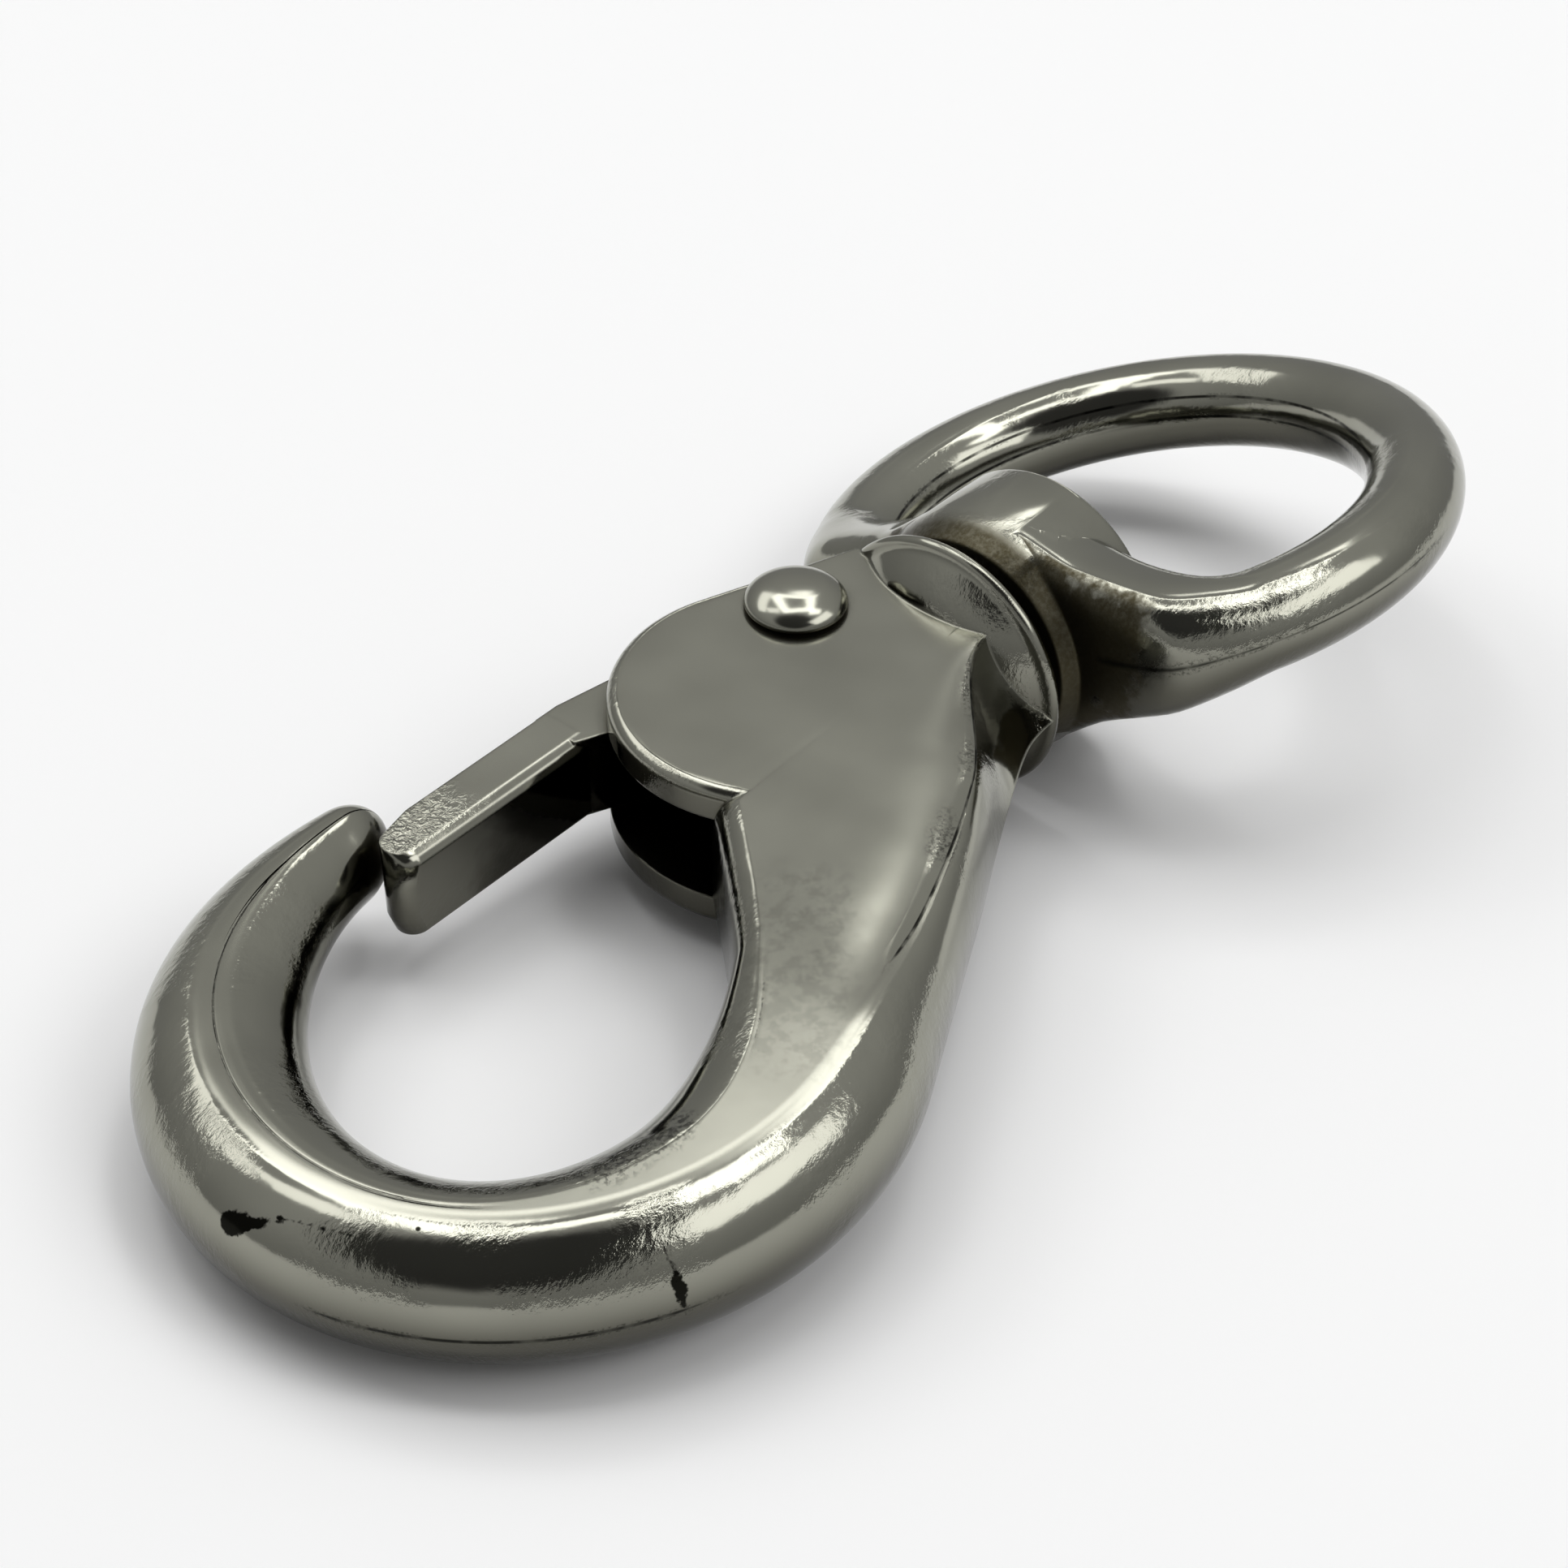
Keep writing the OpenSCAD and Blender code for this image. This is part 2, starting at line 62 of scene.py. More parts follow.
def number(name, text, value):
    """A brightness, a roughness or another plain number."""
    return bpy.props.FloatProperty(name=name, description=text, default=value, min=0.0)


def angle(name, text, degrees):
    """An angle that a user may change."""
    return bpy.props.FloatProperty(name=name, description=text, default=math.radians(degrees), subtype="ANGLE")


def colour(name, text, value):
    """A colour that a user may change."""
    return bpy.props.FloatVectorProperty(
        name=name, description=text, default=value, size=3, min=0.0, max=1.0, subtype="COLOR")


class SnapSizes(bpy.types.PropertyGroup):
    """Sizes of the castings, in millimetres, in the hook's own frame."""
    collar_r: size("Collar radius", "Radius of the collar's rim", 9.8)
    rim_band_w: size("Rim band", "Width of the bright band round the rim", 0.8)
    flare_depth: size("Flare depth", "How far the flare reaches behind the collar's front face", 3.1)
    swivel_gap: size("Swivel gap", "Gap between the collar and the eye's hub", 2.0)
    hub_r: size("Hub radius", "Radius of the eye's hub", 9.3)
    hub_l: size("Hub length", "Length of the eye's hub", 9.5)
    hub_front_slope: size("Hub slope", "Length of the slope round the hub's front edge", 2.0)
    hub_front_drop: size("Hub drop", "Depth of that slope", 0.9)
    leg_inset: size("Leg inset", "How far the legs' skin lies inside the hub's round", 0.6)
    leg_outset: size("Leg outset", "How far the legs stand out over the ring's outline", 0.7)
    leg_swell: size("Leg swell", "Growth of the legs' half thickness towards the hub", 3.8)
    leg_hollow: number("Leg hollow", "How that growth falls off, straight at 1 and hollow at 2", 1.2)
    leg_fillet: size("Leg fillet", "Fillets between the hub's rear face and its legs", 1.2)
    leg_round: size("Leg rounding", "Rounding between the legs' front face and the ring", 1.5)
    hub_spread: angle("Leg spread", "Angle at which the legs reach their plain round section", 62)
    stud_r: size("Stud radius", "Radius of the swivel stud's shank", 2.6)
    eye_ring_r: size("Eye radius", "Radius of the eye's centre line", 20.9)
    eye_bar_r: size("Eye bar", "Radius of the eye's round section", 3.6)
    eye_centre_x: size("Eye centre", "Distance of the eye's centre from the collar", 21.2)
    eye_roll: angle("Eye roll", "How far the eye is turned on its stud", 17.7)
    cheek_half: size("Cheek half height", "Half thickness of the body over its cheeks", 5.9)
    slot_half: size("Slot half height", "Half width of the slot between the cheeks", 3.45)
    lobe_r: size("Lobe radius", "Radius of the cheeks' round lobe", 11.4)
    lobe_back: size("Lobe back", "Distance of the lobe's centre from the collar", 15.9)
    lobe_side: size("Lobe side", "Offset of the lobe's centre to the gate side", 2.25)
    cheek_edge: size("Cheek edge", "Rounding of the lobe's edges", 0.9)
    pivot_back: size("Pivot back", "Distance of the gate's pivot from the collar", 8.3)
    pivot_side: size("Pivot side", "Offset of the pivot from the swivel axis", 7.1)
    throat_back: size("Throat back", "Distance of the throat's centre from the collar", 43.6)
    throat_side: size("Throat side", "Offset of the throat's centre from the axis", 0.8)
    throat_long: size("Throat length", "Half length of the throat", 17.8)
    throat_short: size("Throat width", "Half width of the throat", 13.1)
    throat_turn: angle("Throat turn", "Turn of the throat's long axis", 33)
    bow_half_l: size("Bow length", "Half length of the bow's outline", 25.5)
    bow_half_w: size("Bow width", "Half width of the bow's outline", 24)
    bow_turn: angle("Bow turn", "Turn of the bow's outline", -7.4)
    bow_back: size("Bow back", "Distance of the bow's centre from the collar", 45.7)
    bow_side: size("Bow side", "Offset of the bow's centre from the axis", 4.3)
    bow_half_h: size("Bow half height", "Half thickness of the bow", 5.2)
    tip_half_h: size("Tip half height", "Half thickness of the bow at its tip", 3.7)
    tip_end_a: angle("Tip angle", "Angle at which the tip ends", 73.2)
    gate_t: size("Gate thickness", "Thickness of the gate's tongue", 4.0)
    gate_inner_y: size("Gate offset", "Offset of the tongue's inner face from the axis", 10.2)
    gate_half_h: size("Gate half height", "Half height of the gate's tongue", 3.35)
    gate_reach: size("Gate reach", "Distance from the collar to the tongue's end", 43.2)
    gate_nose: size("Gate nose", "How far the tongue's end draws back above and below", 0.5)
    gate_end_a: angle("Gate end slant", "Slant of the tongue's end face", 29)
    gate_end_r: size("Gate end rounding", "Rounded corners of the tongue's end", 1.3)
    gate_step_back: size("Gate step", "Distance from the collar to the tongue's step", 25.8)
    gate_step: size("Gate step depth", "Depth of that step", 0.4)
    gate_bevel: size("Gate bevel", "Rounding of the tongue's upper inner edge", 0.7)
    gate_boss_r: size("Gate boss", "Radius of the gate's pivot boss", 4.2)
    gate_seat_clear: size("Seat clearance", "Clearance of the gate's end from the tip", 0.1)
    rivet_r: size("Rivet radius", "Radius of the gate rivet's shank", 2.1)
    rivet_head_r: size("Rivet head", "Radius of the rivet's heads", 3.6)
    rivet_head_h: size("Rivet head height", "Height of the rivet's heads", 1.9)
    run_clear: size("Running clearance", "Radial clearance on the stud and the rivet", 0.06)
    wire_r: size("Wire radius", "Radius of the spring's wire", 0.4)
    spring_turns: bpy.props.IntProperty(
        name="Spring turns", description="Number of turns of the spring", default=3)
    spring_leg: size("Spring leg", "Length of the spring's leg along the gate", 8.0)
    face_fall: size("Face fall", "How far the flat face falls off towards the back of the spine", 0.7)
    seam_depth: size("Seam depth", "Depth of the fine seams along the casting", 0.03)


class SnapFinish(bpy.types.PropertyGroup):
    """Colours and surface of the plated metal, and the colours of its painted shade."""
    nickel: colour("Nickel", "Clean nickel plate", (0.298, 0.297, 0.250))
    # tarnish: the colour of shade painted into recesses and onto faces that look down
    tarnish: colour("Tarnish", "Dull plate in sheltered places", (0.055, 0.052, 0.041))
    # the eye hub's brown dirt and the shade painted into corners and creases share this colour
    dirt: colour("Dirt", "Dry brown dirt in corners", (0.053, 0.046, 0.027))
    sheen: number("Roughness", "Roughness of the polished plate", 0.08)


class StudioSettings(bpy.types.PropertyGroup):
    """Camera, floor and light."""
    azimuth: angle("Azimuth", "Where the camera stands round the hook", -49.3)
    elevation: angle("Elevation", "How high the camera looks down on the cheeks", 40.6)
    roll: angle("Roll", "Turn of the camera about its own axis", 0.3)
    distance: size("Distance", "From the camera to its target", 228.8)
    target_back: size("Target", "Distance of the camera's target behind the collar", 17.87)
    lens: number("Lens", "Focal length on a 36 mm sensor", 78.26)
    floor: colour("Floor", "Colour of the plain floor", (0.96, 0.96, 0.96))
    low_glow: number("Low glow", "Brightness of the surroundings near the floor", 0.33)
    high_glow: number("High glow", "Brightness of the surroundings overhead", 0.57)
    panel_glow: number("Panel glow", "Brightness of the broad soft panels", 2.05)
    strip_glow: number("Strip glow", "Brightness of the strips overhead", 3.6)


# ---- small geometry helpers, in degrees and millimetres like the part's source ----

def direction(a):
    """The unit vector at an angle in plan."""
    return np.array([math.cos(math.radians(a)), math.sin(math.radians(a))])


def quarter(steps):
    """Cosine and sine at even steps from 0 up to 90 degrees."""
    return [direction(90 * i / steps) for i in range(steps + 1)]


def turned(p, a):
    """A plan point turned about the origin."""
    c, s = direction(a)
    return np.array([p[0] * c - p[1] * s, p[0] * s + p[1] * c])


def mix(a, b, t):
    """A value between two others."""
    return a + (b - a) * t


def ramp(x, x0, x1):
    """Straight from 0 to 1 between two places."""
    return min(1.0, max(0.0, (x - x0) / (x1 - x0)))


def ease(x, x0, x1):
    """Smoothly from 0 to 1 between two places."""
    t = ramp(x, x0, x1)
    return t * t * (3 - 2 * t)


def hump(x, x0, x1, x2, x3):
    """Smoothly from 0 to 1 and back to 0."""
    return ease(x, x0, x1) * (1 - ease(x, x2, x3))


class HookForm:
    """Plan curves and cross sections of the hook, worked out from the sizes."""
    CREASE_A = 62  # where the inner bevel's curve meets the crown
    FALL_RUN = 5.0  # width over which the flat face falls
    LEG_A = 80  # the legs end here
    HUB_PLANE = 15.1  # distance from the eye's centre at which the hub's round is taken
    WALL_A = 313.0  # where the bow's fan ends and the spine's straight wall begins
    WALL_BEND_L = 2.0
    TIP_ROUND_A = 9.8
    SPINE_P = np.array([-6.0, -10.9])  # a point on the spine's straight back
    SPINE_CORNER_X = -18.3
    NECK_INNER = np.array([-0.5, -1.0])

    def __init__(self, sizes):
        for key in SnapSizes.__annotations__:
            value, is_angle = getattr(sizes, key), key.split("_")[-1] in ("turn", "roll", "a", "spread")
            setattr(self, key, math.degrees(value) if is_angle else value)
        self.throat_c = np.array([-self.throat_back, -self.throat_side])
        self.bow_c = np.array([-self.bow_back, -self.bow_side])
        self.fan_c = (self.throat_c + self.bow_c) / 2  # the sections of the bow fan out from here
        self.lobe_c = np.array([-self.lobe_back, self.lobe_side])
        self.pivot = np.array([-self.pivot_back, self.pivot_side])
        self.spine_at_rim = self.collar_r - 0.2
        self.wall_corner = np.array([self.lobe_c[0] - self.lobe_r + 0.2, -1.9])
        self.hub_rear = self.swivel_gap + self.hub_l
        self.bore_r = self.rivet_r + self.run_clear
        self.coil_r = self.bore_r + 0.1 + self.wire_r
        self.coil_h = (2 * self.wire_r + 0.06) * self.spring_turns
        tongue_y = self.gate_inner_y + self.gate_t / 2 - self.pivot_side
        self.tang_a = 180 - math.degrees(math.atan(tongue_y / (self.gate_step_back - self.pivot_back)))
        self.set_lie()
        self.set_spine()

    @staticmethod
    def oval_reach(u, v, turn):
        """How far a turned oval reaches along one axis."""
        c, s = direction(turn)
        return math.hypot(u * c, v * s)

    def set_lie(self):
        """How the snap lies: pitched until the collar and the far end of the bow touch the ground."""
        end_x = self.bow_c[0] - self.oval_reach(self.bow_half_l, self.bow_half_w, self.bow_turn)
        end_y = self.bow_c[1] - self.oval_reach(self.bow_half_w, self.bow_half_l, self.bow_turn)
        pitch = math.asin((self.collar_r - self.bow_half_h) / (-end_x - self.bow_half_h))
        eye_end_x = self.eye_centre_x + self.eye_ring_r + self.eye_bar_r
        eye_half_w = self.eye_ring_r * math.cos(math.radians(self.eye_roll)) + self.eye_bar_r
        shift = Vector((-(end_x + eye_end_x) / 2 * math.cos(pitch), -(eye_half_w + end_y) / 2,
                        self.collar_r * math.cos(pitch)))
        self.lie = Matrix.Scale(MM, 4) @ Matrix.Translation(shift) @ Matrix.Rotation(-pitch, 4, "Y")

    def set_spine(self):
        """The straight back of the spine, tangent to the bow's outline."""
        q = turned(self.SPINE_P - self.bow_c, -self.bow_turn)
        u = np.array([q[0] / self.bow_half_l, q[1] / self.bow_half_w])
        t = math.degrees(math.atan2(u[1], u[0]) - math.acos(1 / np.hypot(*u)))
        touch = self.bow_c + turned(direction(t) * (self.bow_half_l, self.bow_half_w), self.bow_turn)
        self.spine_slope = (touch[1] - self.SPINE_P[1]) / (touch[0] - self.SPINE_P[0])
        self.spine_ray_a = math.degrees(math.atan2(touch[1] - self.fan_c[1], touch[0] - self.fan_c[0])) + 360

    def oval_ray(self, a, c, u, v, turn):
        """Distance along a ray of the fan to a turned oval."""
        d, o = turned(direction(a), -turn), turned(self.fan_c - c, -turn)
        qa = (d[0] / u) ** 2 + (d[1] / v) ** 2
        qb = d[0] * o[0] / (u * u) + d[1] * o[1] / (v * v)
        qc = (o[0] / u) ** 2 + (o[1] / v) ** 2 - 1
        return (-qb + math.sqrt(qb * qb - qa * qc)) / qa

    def throat_ray(self, a):
        """Distance along a ray to the throat."""
        return self.oval_ray(a, self.throat_c, self.throat_long, self.throat_short, self.throat_turn)

    def outer_ray(self, a):
        """Distance along a ray to the bow's outline or the spine's back."""
        if a > self.spine_ray_a:
            d = direction(a)
            rise = self.SPINE_P[1] + self.spine_slope * (self.fan_c[0] - self.SPINE_P[0]) - self.fan_c[1]
            return rise / (d[1] - self.spine_slope * d[0])
        return self.oval_ray(a, self.bow_c, self.bow_half_l, self.bow_half_w, self.bow_turn)

    def spine_y(self, x):
        """The spine's back, which runs smoothly into the collar's rim."""
        line = -self.SPINE_P[1] - self.spine_slope * (x - self.SPINE_P[0])
        return -(line + self.spine_at_rim) / 2 - math.sqrt(((line - self.spine_at_rim) / 2) ** 2 + 0.25)

    def ray_plan(self, a):
        """Inner point, outer point and place of one section of the bow."""
        d = direction(a)
        return self.fan_c + self.throat_ray(a) * d, self.fan_c + self.outer_ray(a) * d, a

    def body_plans(self, wall_steps, neck_steps):
        """The same for the sections that run up the spine to the collar."""
        low = self.ray_plan(self.WALL_A)
        run = low[0] - self.ray_plan(self.WALL_A - 2)[0]
        bend = low[0] + self.WALL_BEND_L * run / np.hypot(*run)
        plans = []
        for i in range(1, wall_steps + neck_steps + 1):
            t, u = min(1.0, i / wall_steps), max(0.0, (i - wall_steps) / neck_steps)
            x = mix(mix(low[1][0], self.SPINE_CORNER_X, t), self.NECK_INNER[0], u)
            inner = mix(mix(low[0], bend, t), mix(bend, self.wall_corner, t), t)
            plans.append((mix(inner, self.NECK_INNER, u), np.array([x, self.spine_y(x)]),
                          self.WALL_A + 20 * t + 30 * u))
        return plans

    def half_h(self, a):
        """Half thickness of the bar from the tip to the cheeks."""
        if a > 180:
            return mix(self.bow_half_h, self.cheek_half, ease(a, 200, 308))
        return mix(self.tip_half_h, self.bow_half_h, ease(a, 82, 180))

    @staticmethod
    def seams(a):
        """Strength of the crown's crease, of the edge of the flat face and of the parting line."""
        crease = hump(a, 84, 96, 204, 222) + 0.6 * hump(a, 272, 290, 306, 316)
        return crease, ease(a, 300, 314), hump(a, 190, 200, 240, 256)

    def seam_marks(self, a):
        """The same for each point of a section's ring, with loose dirt beside the edge of the flat face."""
        crease, edge, parting = self.seams(a)
        at = BEVEL_STEPS + 9 + CROWN_STEPS  # the first of the edge's two points
        half = [0.0] * (at + 2 + ROUND_STEPS)
        half[BEVEL_STEPS + 6], half[-1] = crease, parting
        for away, strength in enumerate((1.0, 0.4, 0.25)):
            half[at - away] = half[at + 1 + away] = strength * edge
        return half + half[-2:0:-1]

    def section(self, plan, k=1.0):
        """One closed ring of points through the hook's bar, shrunk about its middle by k."""
        inner, outer, a = plan
        w = float(np.hypot(*(outer - inner)))
        u = (outer - inner) / w
        h = self.half_h(a)
        # widths of the inner bevel and of the outer rounding: slimmer at the tip and along the spine
        bw = mix(5, 1.8, ease(a, 250, 318)) * mix(0.64, 1, ease(a, 74, 150))
        rw = mix(5.2, 1.9, ease(a, 280, 340)) * mix(0.64, 1, ease(a, 74, 160)) + 3.3 * ease(a, 341, 363)
        fit = min(1.0, (w - 0.2) / (bw + rw))
        bw, rw = fit * bw, fit * rw
        f, e = 2 / mix(2, 4.5, ease(a, 246, 320)), mix(1, 2.3, ease(a, 332, 356))
        crease_a = math.radians(self.CREASE_A)
        bu, bv = bw / (1 - math.cos(crease_a) ** f), h / math.sin(crease_a) ** f
        half = []
        for i in range(BEVEL_STEPS + 1):
            t = crease_a * (i / BEVEL_STEPS) ** 1.7
            half.append((bu * (1 - math.cos(t) ** f), bv * math.sin(t) ** f))
        # the crown: flat but for the crease, the edge's seam and the fall towards the spine's back
        top, run = w - rw, min(self.FALL_RUN, 0.5 * (w - rw - bw))
        fall = self.face_fall * ease(a, 292, 318) * (1 - ease(a, 346, 363))
        seam, reach = mix((bw + top) / 2, bw + 0.3, ease(a, 240, 280)), min(0.2, 0.4 * (top - bw))
        crease, edge, _ = self.seams(a)
        crown = [(mix(bw, seam - reach, i / 4), 0.0) for i in range(1, 5)]
        crown += [(seam - 0.5 * reach, 0.0), (seam, self.seam_depth * crease), (seam + 0.5 * reach, 0.0)]
        crown += [(mix(seam + reach, top - 0.15, i / CROWN_STEPS), 0.0) for i in range(CROWN_STEPS + 1)]
        crown += [(top - 0.04, self.seam_depth * edge), (top + 0.03, self.seam_depth * edge)]
        half += [(d, h - dip - fall * ramp(d, top - run, top) ** 2) for d, dip in crown]
        for i in range(1, ROUND_STEPS + 1):
            t = math.pi / 2 * i / ROUND_STEPS
            half.append((max(top + 0.04 + 0.002 * i, top + rw * math.sin(t) ** e),
                         (h - fall) * max(0.0, math.cos(t)) ** e))
        half[-1] = (w, 0.0)
        ring = half + [(d, -z) for d, z in half[-2:0:-1]]
        return [(*(inner + (w / 2 + (d - w / 2) * k) * u), z * k) for d, z in ring]

    def leg(self, a):
        """Share of a leg in the eye's section: 1 at the hub, 0 on the plain ring."""
        return math.cos(math.radians(min(a, self.hub_spread) * 90 / self.hub_spread)) ** 2

    @staticmethod
    def eye_marks(a):
        """Strength of the trim lines round the eye's inner side and of the parting line on its outer side."""
        b = min(a, 360 - a)
        marks = [0.0] * EYE_STEPS
        marks[1] = marks[6] = ease(b, 30, 50)
        marks[EYE_STEPS // 2] = 0.8 * hump(b, 24, 34, 95, 120)
        return marks

    def eye_section(self, a):
        """One closed ring of points through the eye's bar."""
        b = min(a, 360 - a)
        cosine, leg = math.cos(math.radians(b)), self.leg(b)
        ri, ro = self.eye_ring_r - self.eye_bar_r, self.eye_ring_r + self.eye_bar_r + self.leg_outset * leg
        if b <= self.LEG_A:
            # the legs: the ring's inner and outer outlines run smoothly into the hub's rear and front
            p, k = (self.eye_centre_x - self.hub_rear + self.leg_inset) / cosine, self.leg_fillet * cosine
            ri = (p + ri) / 2 - math.sqrt(((p - ri) / 2) ** 2 + k * k)
            front = self.swivel_gap + self.hub_front_slope / 2
            p, k = (self.eye_centre_x - front) / cosine, self.leg_round * self.leg(b / 1.3)
            ro = (p + ro) / 2 - math.sqrt(((p - ro) / 2) ** 2 + k * k)
        h = self.eye_bar_r
        if b <= self.hub_spread:
            # half thickness: the larger of the leg's and the hub's own round, smoothly joined
            shank = h + self.leg_swell * (1 - ramp(b, 15, self.hub_spread)) ** self.leg_hollow
            y = self.HUB_PLANE * math.tan(math.radians(b)) if b < 40 else self.hub_r
            core = math.sqrt(max(0.0, (self.hub_r - 2 * self.leg_inset) ** 2 - y * y))
            k = 1.2 * math.cos(math.radians(b * 90 / self.hub_spread))
            h = (core + shank) / 2 + math.sqrt(((core - shank) / 2) ** 2 + k * k)
        e = 2 / (2 + 3.5 * leg)
        ring = []
        for i in range(EYE_STEPS):
            t = 2 * math.pi * i / EYE_STEPS
            c, s = math.cos(t), math.sin(t)
            r = (ri + ro) / 2 - (ro - ri) / 2 * math.copysign(abs(c) ** e, c)
            x, y = self.eye_centre_x - r * math.cos(math.radians(a)), -r * math.sin(math.radians(a))
            ring.append((x, y, h * math.copysign(abs(s) ** e, s)))
        return ring


# ---- mesh helpers ----

def new_object(name, data):
    """An object in the scene."""
    made = bpy.data.objects.new(name, data)
    bpy.context.scene.collection.objects.link(made)
    return made


def mesh_object(name, verts, faces, marks=None):
    """A mesh object from points in the hook's frame, in millimetres."""
    mesh = bpy.data.meshes.new(name)
    mesh.from_pydata([tuple(map(float, v)) for v in verts], [], faces)
    if marks:
        mesh.attributes.new("seam", "FLOAT", "POINT").data.foreach_set("value", marks)
    bm = bmesh.new()
    bm.from_mesh(mesh)
    bmesh.ops.remove_doubles(bm, verts=bm.verts, dist=1e-4)
    bmesh.ops.recalc_face_normals(bm, faces=bm.faces)
    bm.to_mesh(mesh)
    bm.free()
    return new_object(name, mesh)


def bands(rings, looped, wrapped):
    """Points and faces of the bands between rings of equal numbers of points."""
    m, n = len(rings[0]), len(rings)
    faces = []
    for i in range(n if looped else n - 1):
        for j in range(m if wrapped else m - 1):
            k, a, b = (j + 1) % m, i * m, ((i + 1) % n) * m
            faces.append((a + j, b + j, b + k, a + k))
    return [p for ring in rings for p in ring], faces


def loft(name, rings, looped=False, marks=None):
    """A closed skin through rings, with a value kept for each point."""
    m, n = len(rings[0]), len(rings)
    verts, faces = bands(rings, looped, True)
    if not looped:
        faces += [tuple(range(m))[::-1], tuple(range((n - 1) * m, n * m))]
    return mesh_object(name, verts, faces, [v for ring in marks for v in ring] if marks else None)


def turned_solid(name, profile, centre=(0, 0, 0), along="X", steps=160):
    """A solid turned about an axis from a profile of (place along it, radius)."""
    rings = []
    for i in range(steps):
        c, s = direction(360 * i / steps)
        ring = [(x, r * c, r * s) if along == "X" else (r * c, r * s, x) for x, r in profile]
        rings.append([tuple(np.add(p, centre)) for p in ring])
    return mesh_object(name, *bands(rings, True, False))


def drum(name, half, r, centre):
    """A plain round solid along Z."""
    return turned_solid(name, [(-half, 0), (-half, r), (half, r), (half, 0)], (*centre, 0), "Z", 64)


def prism(name, outline, z0, z1):
    """A straight solid over a plan outline."""
    n = len(outline)
    verts = [(*p, z0) for p in outline] + [(*p, z1) for p in outline]
    faces = [tuple(range(n))[::-1], tuple(range(n, 2 * n))]
    faces += [(i, (i + 1) % n, n + (i + 1) % n, n + i) for i in range(n)]
    return mesh_object(name, verts, faces)


def hull(name, points):
    """The convex solid round a set of points."""
    bm = bmesh.new()
    for p in points:
        bm.verts.new([float(v) for v in p])
    made = bmesh.ops.convex_hull(bm, input=bm.verts)
    spare = {g for g in made["geom_interior"] + made["geom_unused"] if isinstance(g, bmesh.types.BMVert)}
    bmesh.ops.delete(bm, geom=list(spare), context="VERTS")
    bmesh.ops.dissolve_limit(bm, angle_limit=math.radians(0.2), verts=bm.verts, edges=bm.edges)
    mesh = bpy.data.meshes.new(name)
    bm.to_mesh(mesh)
    bm.free()
    return new_object(name, mesh)


def cut(piece, tool, how="DIFFERENCE"):
    """Joins a tool solid to a piece or cuts it away, and drops the tool."""
    step = piece.modifiers.new("cut", "BOOLEAN")
    step.object, step.operation, step.solver = tool, how, "EXACT"
    bpy.context.view_layer.update()
    mesh = bpy.data.meshes.new_from_object(piece.evaluated_get(bpy.context.evaluated_depsgraph_get()))
    piece.modifiers.clear()
    piece.data = mesh
    bpy.data.objects.remove(tool)
    return piece


def arc(r, centre, steps):
    """Points round a circle in plan."""
    return [tuple(np.add(centre, r * direction(360 * i / steps))) for i in range(steps)]


def finish_piece(piece, form, material, body, node, spin=0.0):
    """Lays a piece down, smooths it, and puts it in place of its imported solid."""
    mesh = piece.data
    mesh.transform(form.lie @ Matrix.Rotation(math.radians(spin), 4, "X"))
    mesh.shade_smooth()
    mesh.set_sharp_from_angle(angle=BEND_ANGLE)
    sharp = mesh.attributes["sharp_edge"].data
    for face in mesh.polygons:
        if face.area > FLAT_AREA:
            for i in face.loop_indices:
                sharp[mesh.loops[i].edge_index].value = True
    mesh.materials.clear()
    mesh.materials.append(MATERIALS[material])
    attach(piece, body)
    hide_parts(node)


# ---- materials ----

def add_node(tree, kind, links=None, **values):
    """Adds a node, sets its plain values and links its inputs."""
    node = tree.nodes.new("ShaderNode" + kind)
    for key, value in values.items():
        setattr(node, key, value)
    for socket, value in (links or {}).items():
        if isinstance(value, bpy.types.NodeSocket):
            tree.links.new(value, node.inputs[socket])
        else:
            node.inputs[socket].default_value = value
    return node


def new_group(name, inputs, outputs):
    """An empty shader group with named sockets."""
    group = bpy.data.node_groups.new(name, "ShaderNodeTree")
    for label, kind in inputs:
        group.interface.new_socket(name=label, in_out="INPUT", socket_type=kind)
    for label, kind in outputs:
        group.interface.new_socket(name=label, in_out="OUTPUT", socket_type=kind)
    return group, group.nodes.new("NodeGroupInput").outputs, group.nodes.new("NodeGroupOutput").inputs


def math_node(tree, operation, a, b=0.0, clamp=False):
    """The result of one sum."""
    return add_node(tree, "Math", {0: a, 1: b}, operation=operation, use_clamp=clamp).outputs[0]


def times(tree, *values):
    """The product of several values."""
    product = values[0]
    for value in values[1:]:
        product = math_node(tree, "MULTIPLY", product, value)
    return product


def plus(tree, *values):
    """The sum of several values."""
    total = values[0]
    for value in values[1:]:
        total = math_node(tree, "ADD", total, value)
    return total


def vector_node(tree, operation, a, b=None):
    """The result of one vector operation."""
    links = {0: a}
    if b is not None:
        links["Scale" if operation == "SCALE" else 1] = b
    made = add_node(tree, "VectorMath", links, operation=operation)
    return made.outputs["Value" if operation in ("DOT_PRODUCT", "LENGTH") else "Vector"]


def axis(tree, vector, letter):
    """One component of a vector."""
    return add_node(tree, "SeparateXYZ", {0: vector}).outputs[letter]


def noise(tree, place, scale, detail=2.0, rough=0.5):
    """Cloudy noise from about 0.2 to 0.8; the scale is in waves a metre."""
    links = {"Vector": place, "Scale": scale, "Detail": detail, "Roughness": rough}
    return add_node(tree, "TexNoise", links).outputs["Fac"]


def patches(tree, place, cloud, *limits):
    """Noise with more contrast; cloud holds its scale, detail and roughness."""
    return map_range(tree, noise(tree, place, *cloud), *limits)


def drift(tree, place, width, scale, detail=3.0, rough=0.5):
    """Noise about 0, which makes an edge ragged."""
    return times(tree, math_node(tree, "SUBTRACT", noise(tree, place, scale, detail, rough), 0.5), width)


